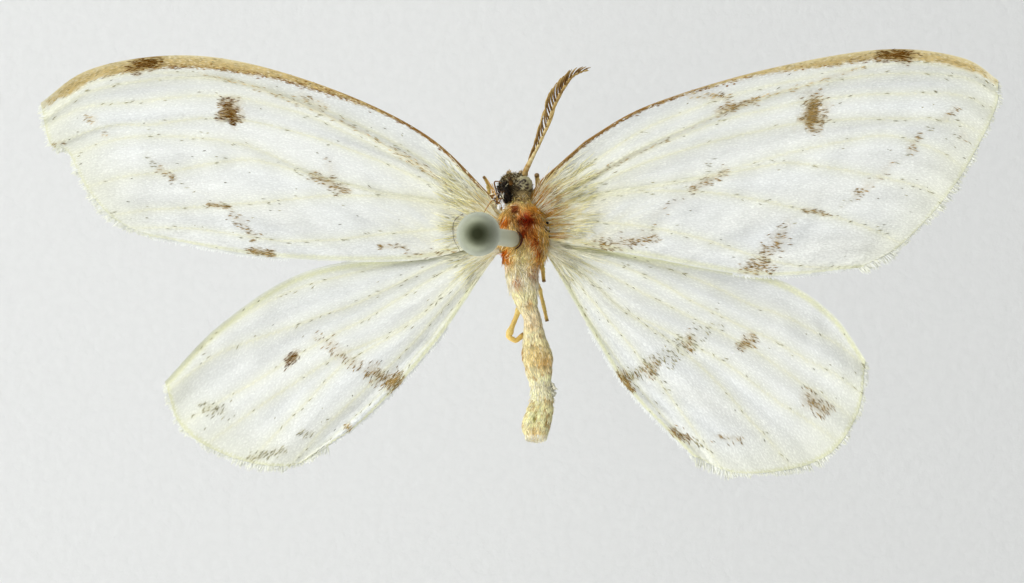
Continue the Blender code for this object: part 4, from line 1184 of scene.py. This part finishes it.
class Body:
    """The body as one skin by (s, angle): s from the abdomen's tip to the face, angle round it."""

    def __init__(self):
        rows = np.array(BODY_ROWS)
        self.s = np.linspace(0, 1, BODY_RINGS)
        station = np.concatenate([[0], np.cumsum(np.hypot(np.diff(rows[:, 0]), np.diff(rows[:, 2])))])
        self.y, self.x, self.wide, self.high = (self.soften(np.interp(self.s, station / station[-1], column))
                                                for column in rows.T)
        self.z = np.interp(self.y, *np.transpose(BODY_LEVELS))

    def soften(self, values):
        window = np.hanning(9)[1:-1]
        return np.convolve(np.pad(values, 3, mode="edge"), window / window.sum(), mode="valid")

    def point(self, s, angle):
        """The skin at (s, angle), with folds between the abdomen's segments and a dried, uneven surface."""
        rows = (self.x, self.y, self.z, self.wide, self.high)
        x, y, z, wide, high = (np.interp(s, self.s, row) for row in rows)
        girth = angle * 0.35
        grow = 0.05 * noise(girth * 2, y, 0.20, 12) + 0.03 * noise(girth * 3, y, 0.09, 13)
        grow = 1 + grow * clamp(wide / 0.2)
        wavy = y + 0.05 * noise(girth * 2, girth * 0, 0.3, 14)
        groove = SEGMENT_GROOVE * sum(bell(wavy - edge, SEGMENT_GROOVE_WIDTH) for edge in SEGMENT_EDGES)
        flat = 1.0 - 0.06 * np.cos(4 * angle)
        return np.stack([x + (wide * grow - groove) * np.cos(angle) * flat, y,
                         z + (high * grow - groove) * np.sin(angle) * flat], axis=-1)

    def frame_at(self, s, angle):
        """Place, direction towards the head, sideways direction and normal at (s, angle)."""
        step = 0.004
        ahead = unit(self.point(np.minimum(s + step, 1), angle) - self.point(np.maximum(s - step, 0), angle))
        around = unit(self.point(s, angle + 0.05) - self.point(s, angle - 0.05))
        normal = unit(np.cross(ahead, around))
        return self.point(s, angle), ahead, np.cross(normal, ahead), normal

    def s_at(self, y):
        return np.interp(y, self.y, self.s)

    def tint(self, x, y):
        """The body's colour at a place seen from above, the same for skin and coat."""
        colours = blend(ABDOMEN_TONE, THORAX_TONE, ease(y, -0.30, 0.05))
        colours = blend(colours, HEAD_TONE, ease(y, 1.42, 1.57))
        for (px, py), radius, colour, strength in BODY_PATCHES:
            colours = blend(colours, colour, strength * bell(np.hypot(x - px, y - py), radius, 2.5))
        for edge in SEGMENT_EDGES:
            colours = blend(colours, SEGMENT_TONE, 0.15 * bell(y - edge, 0.05))
        mottled = clamp(2.6 * noise(x, y, 0.065, 16) - 0.9) * (y < -0.4)
        bulge = bell(y + 2.25, 0.5) + 0.5 * bell(y + 3.7, 0.4)
        colours = blend(colours, MOTTLE_TONE, np.minimum(0.25 + 0.6 * bulge, 0.8) * mottled)
        return colours * (1 + 0.05 * noise(x, y, 0.13, 15))[..., None]


def body_skin(body, surface):
    s, angle = np.meshgrid(np.linspace(0.002, 0.998, BODY_RINGS), turns(BODY_SIDES), indexing="ij")
    shell = body.point(s, angle)
    points = np.vstack([shell.reshape(-1, 3), shell[0].mean(0), shell[-1].mean(0)])
    heap = Heap()
    tints = body.tint(points[:, 0], points[:, 1]) * SKIN_DARKER
    heap.add(points, ring_faces(BODY_RINGS, BODY_SIDES)[:, ::-1], tints)
    heap.piece("body_skin", surface, "thorax_hair", ["thorax", "abdomen", "abdomen_tip", "head"])


def body_map(s, angle):
    return on_map((angle / (2 * math.pi)) % 1.0, s)


def thorax_coat(body, surface):
    """Long soft hair over the thorax, swept back, with rust, orange and cream locks."""
    rng = draws(50)
    count = THORAX_HAIRS
    y = rng.uniform(-0.18, 1.45, count)
    s = body.s_at(y)
    angle = rng.uniform(-0.6, math.pi + 0.6, count)
    under = rng.random(count) < 0.25
    angle = np.where(under, rng.uniform(math.pi, 2 * math.pi, count), angle)
    here, ahead, side, normal = body.frame_at(s, angle)
    swirl = 1.1 * noise(here[:, 0], here[:, 1], 0.30, 21) + 0.6 * noise(here[:, 0], here[:, 1], 0.10, 22)
    lie = sweep(-ahead, side, normal, swirl + rng.normal(0, 0.22, count))
    lengths = rng.uniform(0.12, 0.34, count) * np.where(y < 0.2, 0.75, 1.0)
    middle = here + lie * lengths[:, None] * 0.4
    colours = body.tint(middle[:, 0] + rng.normal(0, 0.02, count),
                        middle[:, 1] + rng.normal(0, 0.025, count))
    light = clamp(colours[:, 1] / 190) ** 3
    colours = colours * rng.uniform(0.7, 1.2, count)[:, None]
    locks = clamp(2.5 * noise(here[:, 0], here[:, 1], 0.12, 23) - 0.3) * light
    colours = blend(colours, LOCK_CREAM, locks * (rng.random(count) < 0.7) * 0.9)
    colours = blend(colours, LOCK_PALE, (rng.random(count) < 0.10 * light) * 0.9)
    heap = Heap()
    heap.add_hairs(here - normal * 0.01, lie, normal, lengths, THORAX_HAIR_RADIUS,
                   rng.uniform(-0.02, 0.14, count), rng.normal(0, 0.35, count), colours, body_map(s, angle))
    heap.piece("thorax_hair_coat", surface, "thorax_hair")


def abdomen_coat(body, surface):
    """Flat scales over the abdomen in overlapping rows that point to the tail."""
    rng = draws(51)
    count = ABDOMEN_SCALES
    s = rng.uniform(body.s_at(-4.12), body.s_at(-0.05), count)
    angle = rng.uniform(0, 2 * math.pi, count)
    here, ahead, side, normal = body.frame_at(s, angle)
    lie = sweep(-ahead, side, normal, rng.normal(0, 0.20, count), rng.uniform(0.0, 0.07, count))
    lengths = rng.uniform(0.07, 0.14, count)
    colours = body.tint(here[:, 0], here[:, 1]) * rng.uniform(0.96, 1.04, count)[:, None]
    colours = blend(colours, ABDOMEN_PALE, (rng.random(count) < 0.10) * 0.6)
    heap = Heap()
    heap.add_leaves(here + normal * 0.001, lie, normal, lengths, rng.uniform(0.014, 0.026, count), 0.0015,
                    colours, body_map(s, angle))
    heap.piece("abdomen_scale_coat", surface, "abdomen_scales", smooth=False)


def abdomen_tufts(body, surface):
    """Longer hairs at the abdomen's base, narrow place and tip, and a loose flap of scales at its side."""
    rng = draws(52)
    heap = Heap()
    for low, high, count, length, rise, paleness in TUFT_ZONES:
        s = body.s_at(rng.uniform(low, high, count))
        angle = rng.uniform(0, 2 * math.pi, count)
        here, ahead, side, normal = body.frame_at(s, angle)
        lie = sweep(-ahead, side, normal, rng.normal(0, 0.30, count))
        colours = blend(body.tint(here[:, 0], here[:, 1]), TUFT_PALE,
                        paleness * rng.uniform(0.1, 1.1, count))
        heap.add_hairs(here, lie, normal, length * rng.uniform(0.6, 1.2, count), TUFT_RADIUS,
                       rise * rng.uniform(0.3, 1.2, count), rng.normal(0, 0.2, count), colours,
                       body_map(s, angle))
    count = FLAP_SCALES
    roots = np.column_stack([rng.uniform(low, high, count) for low, high in FLAP_SPANS])
    lie = unit(np.column_stack([rng.uniform(0.5, 1.0, count), rng.uniform(-1.0, -0.5, count),
                                rng.normal(0, 0.2, count)]))
    heap.add_leaves(roots, lie, UP, rng.uniform(0.08, 0.16, count), 0.05, 0.003,
                    rng.uniform(0.9, 1.0, count)[:, None] * FLAP_TONE,
                    body_map(body.s_at(roots[:, 1]), np.zeros(count)))
    heap.piece("abdomen_tuft_coat", surface, "abdomen_scales")


def head_coat(body, surface):
    """Short dark and pale bristles over the head, forward on the face."""
    rng = draws(53)
    s = rng.uniform(body.s_at(1.38), 0.996, HEAD_BRISTLES)
    angle = rng.uniform(0, 2 * math.pi, HEAD_BRISTLES)
    here, ahead, side, normal = body.frame_at(s, angle)
    bare = (np.hypot(here[:, 0] - EYE_RIGHT[0], here[:, 1] - EYE_RIGHT[1]) < 0.19) & (here[:, 2] > 27.9)
    s, angle, here, ahead, side, normal = (part[~bare] for part in (s, angle, here, ahead, side, normal))
    count = len(s)
    lie = sweep(ahead * rng.normal(-0.3, 0.7, count)[:, None], side, normal, rng.normal(0, 0.7, count), 0.15)
    colours = body.tint(here[:, 0], here[:, 1]) * rng.uniform(0.6, 1.35, count)[:, None]
    dark = (rng.random(count) < 0.35) & (here[:, 0] < 0.0) & (here[:, 1] > 1.5)
    colours = np.where(dark[:, None], BRISTLE_DARK, colours)
    pale = rng.random(count) < np.where((here[:, 0] < -0.40) & (here[:, 1] < 1.65), 0.6, 0.12)
    colours = np.where(pale[:, None], BRISTLE_PALE, colours)
    heap = Heap()
    heap.add_hairs(here - normal * 0.01, lie, normal, rng.uniform(0.05, 0.14, count), BRISTLE_RADIUS,
                   rng.uniform(0.0, 0.3, count), rng.normal(0, 0.4, count), colours, body_map(s, angle))
    heap.piece("head_coat", surface, "head_scales")


def eyes(dark_surface, pale_surface):
    """The left eye's shrunken lumps, and the right one's dome with its net of dark spots."""
    shrunk = Heap()
    for *place, radius in EYE_LEFT_LUMPS:
        points, faces = ball(place, radius, 26, 34, (0.85, 1.15, 0.9), 0.5, 31)
        brown = 1.5 * noise(points[:, 0], points[:, 1], 0.06, 34) - 0.5
        shrunk.add(points, faces, blend(EYE_BLACK, EYE_BROWN, brown))
    shrunk.piece("eye_left_shrunk", dark_surface, "eye_shell", ["eye_left"])
    dome = Heap()
    points, faces = ball(EYE_RIGHT, EYE_RIGHT_RADIUS, 40, 56, (1.0, 0.92, 0.9), 0.10, 32)
    x, y, z = points.T
    spots = clamp(3.2 * np.abs(noise(x + z * 0.4, y, 0.042, 33)) - 0.35)
    from_middle = np.hypot(x - EYE_RIGHT[0] + 0.03, y - EYE_RIGHT[1] + 0.04)
    dome.add(points, faces, blend(EYE_PALE, EYE_SPOT, spots * ease(from_middle, 0.18, 0.15)))
    dome.piece("eye_right_dome", pale_surface, "eye_shell", ["eye_right"])


def legs(surface):
    """Thin dry legs with joints, short spines and dark broken ends."""
    rng = draws(60)
    share = np.linspace(0, 1, LEG_STEPS)
    for name, (line, radii) in LEGS.items():
        heap = Heap()
        raised = wing_height(line)
        eased = [raised[0]]
        for before, corner, after in zip(raised, raised[1:], raised[2:]):
            eased += [corner + (before - corner) * LEG_CORNER, corner + (after - corner) * LEG_CORNER]
        path = smooth_curve([*eased, raised[-1]], LEG_STEPS)
        width = np.interp(share, (0, 1), radii)
        for joint in np.linspace(0, 1, len(line))[1:-1]:
            width = width * (1 + 0.35 * bell(share - joint, 0.03))
        width = width * (1 + 0.10 * noise(share * 8, share, 0.5, 41))
        colours = blend(LEG_TAN, LEG_AMBER, 0.5 + 0.5 * noise(share * 6, share * 0, 0.7, 42))
        colours = blend(colours, LEG_DARK, ease(share, 0.96, 0.99))
        heap.add_tube(path, width, colours, 14, ends=[LEG_DARK, LEG_DARK])
        at = rng.integers(6, 56, LEG_SPINES)
        angle = rng.uniform(0, 2 * math.pi, LEG_SPINES)[:, None]
        along, across, lift = (part[at] for part in tube_frame(path))
        normal = across * np.cos(angle) + lift * np.sin(angle)
        heap.add_hairs(path[at] + normal * width[at][:, None] * 0.9, along, normal,
                       rng.uniform(0.03, 0.08, LEG_SPINES), LEG_SPINE_RADIUS,
                       rng.uniform(0.1, 0.4, LEG_SPINES), 0.0, colours[at] * 0.85)
        heap.piece(name + "_dry", surface, "leg_chitin", [name])


def antennae(surface):
    """The feathered right antenna with its folded side branches, and the left one's broken stub."""
    rng = draws(61)
    heap = Heap()
    path = smooth_curve(wing_height(ANTENNA_POINTS), ANTENNA_STEPS)
    share = np.linspace(0, 1, ANTENNA_STEPS)
    joints = 0.5 + 0.5 * np.cos(2 * math.pi * share * RAMI_PAIRS)
    tone = blend(ANTENNA_PALE, ANTENNA_JOINT,
                 0.3 * joints + 0.5 * ease(share, 0.12, 0.08) + 0.3 * ease(share, 0.35, 0.65))
    heap.add_tube(path, ANTENNA_RADII, tone, 12, ends=[ANTENNA_DARK, ANTENNA_DARK])
    along = unit(np.gradient(path, axis=0))
    steps = np.linspace(0, 1, len(RAMI_ROOT_PAINTED_SHADE))[:, None]
    for pair, t in enumerate(np.linspace(*RAMI_SPAN, RAMI_PAIRS)):
        index = int(t * (ANTENNA_STEPS - 1))
        swell = min(1.0, 0.7 + 1.6 * t, 1.3 * (1.25 - t))
        thick = RAMI_RADIUS * (1 + 0.35 * ease(t, 0.45, 0.65) - 0.7 * ease(t, 0.8, 1.0))
        for hand, length, reaches, darkness in zip((-1, 1), RAMI_LENGTHS, RAMI_REACHES, (1.0, 0.3)):
            spread = np.interp(t, RAMI_REACH_STATIONS, reaches)
            across = unit(np.cross(along[index], UP)) * hand
            out = across * spread * (1 - (1 - steps) ** 2.4 - 0.15 * steps ** 3) * rng.uniform(0.9, 1.1)
            sag = UP * (0.03 * (pair % 2) - 0.05 * steps)
            line = path[index] + along[index] * steps * length * swell * rng.uniform(0.9, 1.1)
            line = line + out + sag * length
            # Each branch is darkened from its root out, and its root end is dark: painted shade where it
            # meets the shaft, more on the longer row, plus random tone and darker further along the antenna
            dark = np.array(RAMI_ROOT_PAINTED_SHADE) * darkness + rng.uniform(-0.25, 0.2) + 0.15 * ease(t, 0.5, 0.7)
            heap.add_tube(line, (thick, thick, thick * 0.3), blend(ANTENNA_TAN, ANTENNA_DARK, dark), 6,
                          ends=[ANTENNA_DARK, ANTENNA_TAN])
    heap.piece("antenna_right_feathered", surface, "antenna_chitin", ["antenna_right"])
    stub = Heap()
    tone = blend(ANTENNA_DARK, STUB_TIP, np.linspace(0, 1, STUB_STEPS) ** 2)
    stub.add_tube(smooth_curve(wing_height(STUB_POINTS), STUB_STEPS), STUB_RADII, tone, 12,
                  ends=[ANTENNA_DARK, ANTENNA_DARK])
    stub.piece("antenna_left_stub_broken", surface, "antenna_chitin", ["antenna_left_stub"])


def palps(surface):
    """The two short palps below the face, curved forwards and down, clad in scales."""
    rng = draws(63)
    sideways = np.array([1.0, 0.0, 0.0])
    for name, x in PALP_PLACES.items():
        heap = Heap()
        path = smooth_curve([(x, y, z) for y, z in PALP_LINE], PALP_STEPS)
        heap.add_tube(path, PALP_RADII, np.array(PALP_TONE) * 0.8, 14)
        at = rng.integers(2, PALP_STEPS - 1, PALP_SCALES)
        angle = rng.uniform(0, 2 * math.pi, PALP_SCALES)[:, None]
        along = unit(np.gradient(path, axis=0))[at]
        normal = sideways * np.cos(angle) + np.cross(along, sideways) * np.sin(angle)
        girth = np.interp(at / (PALP_STEPS - 1), np.linspace(0, 1, len(PALP_RADII)), PALP_RADII)
        lie = unit(along + normal * rng.uniform(0.05, 0.35, PALP_SCALES)[:, None])
        heap.add_leaves(path[at] + normal * girth[:, None] * 0.95, lie, normal,
                        rng.uniform(0.06, 0.12, PALP_SCALES), 0.022, 0.003,
                        rng.uniform(0.7, 1.25, PALP_SCALES)[:, None] * PALP_TONE)
        heap.piece(name + "_scaled", surface, "leg_chitin", [name])


def small_parts(left, right, dark_surface, pale_surface, thread_surface):
    """A dark crescent by the pin, a loose hair, specks, a white speck painted as a highlight, and white lumps
    and the ripped shards and threads by the eye.
    """
    rim = Heap()
    # A dark crescent on the thorax beside the pin, where it goes in
    turn = np.linspace(*PIN_CRESCENT_TURN, 30)
    arc = np.column_stack([np.cos(turn), np.sin(turn), -0.3 * np.abs(np.sin(turn))])
    rim.add_tube(PIN_CRESCENT_CENTRE + PIN_CRESCENT_REACH * arc, np.array(PIN_CRESCENT_TAPER) * PIN_CRESCENT_RADIUS, CRESCENT_TONE, 8)
    specks = [(THORAX_SPECK[:3], THORAX_SPECK[3])]
    specks += [(right.over(x, y, SPECK_LIFT), radius) for x, y, radius in WING_SPECKS]
    for place, radius in specks:
        rim.add(*ball(place, radius, 14, 18, (1.2, 0.8, 0.7), 0.4, 36), SPECK_TONE)
    line = [left.over(x, y, STRAY_HAIR_LIFT) for x, y in smooth_curve(STRAY_HAIR, 40)]
    rim.add_tube(line, (STRAY_HAIR_RADIUS, STRAY_HAIR_RADIUS / 2), STRAY_HAIR_TONE, 5)
    rim.piece("pin_crescent_hair_and_specks", dark_surface, "thorax_hair")
    bits = Heap()
    # A white lump between the dark specks on the right wing: a painted highlight, standing for a glint
    painted_glint = (right.over(*PAINTED_GLINT_SPECK[:2], SPECK_LIFT), PAINTED_GLINT_SPECK[2])
    for place, radius in (*WHITE_LUMPS, painted_glint):
        bits.add(*ball(place, radius, 22, 30, (0.75, 1.3, 0.4), 0.5, 37), WHITE_LUMP_TONE)
    rng = draws(62)
    count = SHARD_COUNT
    roots = SHARD_PLACE + rng.uniform(-1, 1, (count, 3)) * SHARD_SPREAD
    lie = unit(np.column_stack([rng.uniform(-1.0, 0.5, count), rng.uniform(-1.0, 0.8, count),
                                rng.uniform(-0.2, 0.5, count)]))
    tilt = unit(np.column_stack([rng.normal(0, 0.4, (count, 2)), np.ones(count)]))
    bits.add_leaves(roots, lie, tilt, SHARD_LENGTH * rng.uniform(0.5, 1.2, count),
                    SHARD_WIDTH * rng.uniform(0.5, 1.3, count), SHARD_THICKNESS,
                    np.array(SHARD_TONES)[rng.integers(0, len(SHARD_TONES), count)])
    bits.piece("white_lumps_glint_and_shards", pale_surface, "head_scales")
    threads = Heap()
    for line, radius, tone in THREADS:
        threads.add_tube(smooth_curve(line, 30), (radius, radius, 0.4 * radius), tone, 8)
    threads.piece("torn_threads", thread_surface, "head_scales")


def pin(surface):
    """One steel pin: a long point, a straight shaft and a small domed head, turned on its own axis."""
    shaft_top = PIN_LENGTH - PIN_HEAD_HEIGHT
    profile = [*PIN_POINT, (PIN_POINT_LENGTH, PIN_RADIUS)]
    profile += [(z, PIN_RADIUS) for z in np.linspace(PIN_POINT_LENGTH, shaft_top, 12)[1:]]
    for step in range(1, PIN_HEAD_STEPS):
        angle = math.pi * step / PIN_HEAD_STEPS
        least = PIN_RADIUS if step < 3 else 0.01
        profile.append((shaft_top + PIN_HEAD_HEIGHT * (1 - math.cos(angle)) / 2,
                        max(PIN_HEAD_RADIUS * math.sin(angle) ** 0.8, least)))
    profile = np.array(profile)
    axis = unit(np.array([*PIN_LEAN, 1.0]))
    tip = PIN_ENTRY - axis * (PIN_ENTRY[2] - PIN_TIP_Z) / axis[2]
    across = unit(np.cross(axis, (0.0, 1.0, 0.0)))
    angles = turns(PIN_SIDES)[:, None]
    ring = np.cos(angles) * across + np.sin(angles) * np.cross(axis, across)
    shell = tip + profile[:, :1, None] * axis + profile[:, 1:, None] * ring
    # The top of the head darkens towards its middle: a painted reflection of the dark sky overhead
    upper = profile[:, 0] > shaft_top + PIN_HEAD_HEIGHT / 2
    painted_reflection = blend(PIN_TONE, PIN_HEAD_PAINTED_REFLECTION, (1.25 - 1.35 * profile[:, 1] / PIN_HEAD_RADIUS) * upper)
    heap = Heap()
    heap.add_shell(shell, tip + profile[[0, -1], :1] * axis, painted_reflection, [PIN_TONE, PIN_HEAD_PAINTED_REFLECTION])
    heap.piece("insect_pin_steel", surface, "pin_steel", ["insect_pin"])


def base(surface):
    """The foam block: rounded corners and edges, its top slightly uneven."""
    length, width, height = BASE_SIZE
    x, y = length / 2 - BASE_CORNER, width / 2 - BASE_CORNER
    corners = np.array([(cx * x, cy * y, math.cos(angle), math.sin(angle))
                        for start, (cx, cy) in enumerate(((1, 1), (-1, 1), (-1, -1), (1, -1)))
                        for angle in np.linspace(start, start + 1, BASE_CORNER_STEPS) * math.pi / 2])
    rounding = [(BASE_EDGE * (1 - math.sin(angle)), BASE_EDGE * (1 - math.cos(angle)))
                for angle in np.linspace(0, math.pi / 2, 5)]
    profile = rounding + [(inset, height - rise) for inset, rise in reversed(rounding)]
    shells = [np.column_stack([corners[:, :2] + corners[:, 2:] * (BASE_CORNER - inset),
                               np.full(len(corners), z)]) for inset, z in profile]
    points = np.vstack([*shells, (0.0, 0.0, 0.0), (0.0, 0.0, height)])
    heap = Heap()
    heap.add(points, ring_faces(len(profile), len(corners)))
    heap.piece("foam_base", surface, "base_foam", ["stand_base"], smooth=False)


def camera():
    data = bpy.data.cameras.new("camera")
    data.sensor_width = SENSOR_WIDTH
    data.lens = SENSOR_WIDTH * CAMERA_ABOVE_WINGS / VIEW_WIDTH_AT_WINGS
    data.clip_start = 0.01
    data.clip_end = 10.0
    viewer = bpy.data.objects.new("camera", data)
    viewer.location = (CAMERA_X * MM, CAMERA_Y * MM, (WING_Z + CAMERA_ABOVE_WINGS) * MM)
    bpy.context.scene.collection.objects.link(viewer)
    bpy.context.scene.camera = viewer


def lights():
    """Softboxes all round, and a sky darker overhead, which the pin's head reflects as its dark middle; that
    middle is painted into the pin's colour as well.
    """
    for k in range(BOX_COUNT):
        turn = 2 * math.pi * (k + 0.5) / BOX_COUNT
        data = bpy.data.lights.new(f"softbox_{k}", "AREA")
        data.shape = "RECTANGLE"
        data.size, data.size_y = (side * MM for side in BOX_SIZE)
        nearer = 1 + BOX_LEFT_NEARER * math.cos(turn)
        data.energy = BOX_POWER * nearer ** 2 * (1 - BOX_LEFT_GAIN * math.cos(turn)) ** 2
        box = bpy.data.objects.new(f"softbox_{k}", data)
        reach = BOX_DISTANCE * nearer * MM
        flat = reach * math.cos(BOX_ELEVATION)
        height = WING_Z * MM + reach * math.sin(BOX_ELEVATION)
        box.location = (flat * math.cos(turn), flat * math.sin(turn), height)
        box.rotation_euler = (math.pi / 2 - BOX_ELEVATION, 0, turn + math.pi / 2)
        bpy.context.scene.collection.objects.link(box)
    world = bpy.data.worlds.new("sky")
    bpy.context.scene.world = world
    world.use_nodes = True
    nodes = world.node_tree.nodes
    links = world.node_tree.links
    where = nodes.new("ShaderNodeTexCoord")
    split = nodes.new("ShaderNodeSeparateXYZ")
    half = nodes.new("ShaderNodeMapRange")
    set_inputs(half, {"From Min": -1.0})
    ramp = nodes.new("ShaderNodeValToRGB")
    for stop, share, colour in zip(ramp.color_ramp.elements, SKY_CAP, (SKY_HORIZON, SKY_ZENITH)):
        stop.position = 0.5 + 0.5 * share
        stop.color = (*colour, 1)
    links.new(where.outputs["Generated"], split.inputs[0])
    links.new(split.outputs["Z"], half.inputs["Value"])
    links.new(half.outputs["Result"], ramp.inputs[0])
    links.new(ramp.outputs[0], nodes["Background"].inputs["Color"])
    set_inputs(nodes["Background"], {"Strength": SKY_STRENGTH})


def floor():
    half = FLOOR_SIZE / 2 * MM
    mesh = bpy.data.meshes.new("floor")
    corners = [(-half, -half, 0), (half, -half, 0), (half, half, 0), (-half, half, 0)]
    mesh.from_pydata(corners, [], [(0, 1, 2, 3)])
    mesh.materials.append(textured("floor_paper", 0.8, 0.02, 3.0, tone=FLOOR_TONE))
    plane = bpy.data.objects.new("floor", mesh)
    bpy.context.scene.collection.objects.link(plane)


def main():
    bpy.context.scene.view_settings.view_transform = "Standard"
    camera()
    lights()
    floor()
    base(textured("base_foam", 0.85, 0.03, 0.25, bump=0.15, tone=BASE_TONE))
    pin(textured("pin_steel", 0.48, 0.10, 0.12, bump=0.05, metallic=0.6, specular=0.4))
    sheet = textured("wing_membrane", 0.6, 0.04, 0.06, bump=0.15, alpha=MEMBRANE_ALPHA, specular=0.1)
    veins = textured("wing_veins", 0.5, 0.12, 0.08, bump=0.2)
    scales = textured("wing_scales", 0.65, 0.04, 0.05, specular=0.06)
    wings = {name: Wing(name) for name in OUTLINES}
    for wing in wings.values():
        membrane(wing, sheet)
        vein_lines(wing, veins)
        wing_scales(wing, scales, True)
        wing_scales(wing, scales, False)
        mark_strokes(wing, scales)
        fringe(wing, scales)
        root_hairs(wing, scales)
    body = Body()
    body_skin(body, textured("body_skin", 0.6, 0.25, 0.09, bump=0.5))
    hair = textured("body_hair", 0.55, 0.10, 0.05, specular=0.05)
    for coat in (thorax_coat, abdomen_coat, abdomen_tufts, head_coat):
        coat(body, hair)
    glossy = textured("eye_dark", 0.45, 0.3, 0.06, bump=0.6, specular=0.15)
    eyes(glossy, textured("eye_pale", 0.45, 0.3, 0.05, bump=0.5, specular=0.4))
    chitin = textured("leg_chitin", 0.4, 0.2, 0.07, bump=0.3)
    legs(chitin)
    antennae(textured("antenna_chitin", 0.5, 0.2, 0.06, bump=0.3))
    palps(chitin)
    bits_finish = textured("pale_bits", 0.2, 0.05, 0.06, bump=0.3, specular=0.6)
    small_parts(wings["forewing_left"], wings["forewing_right"], glossy, bits_finish, chitin)


main()
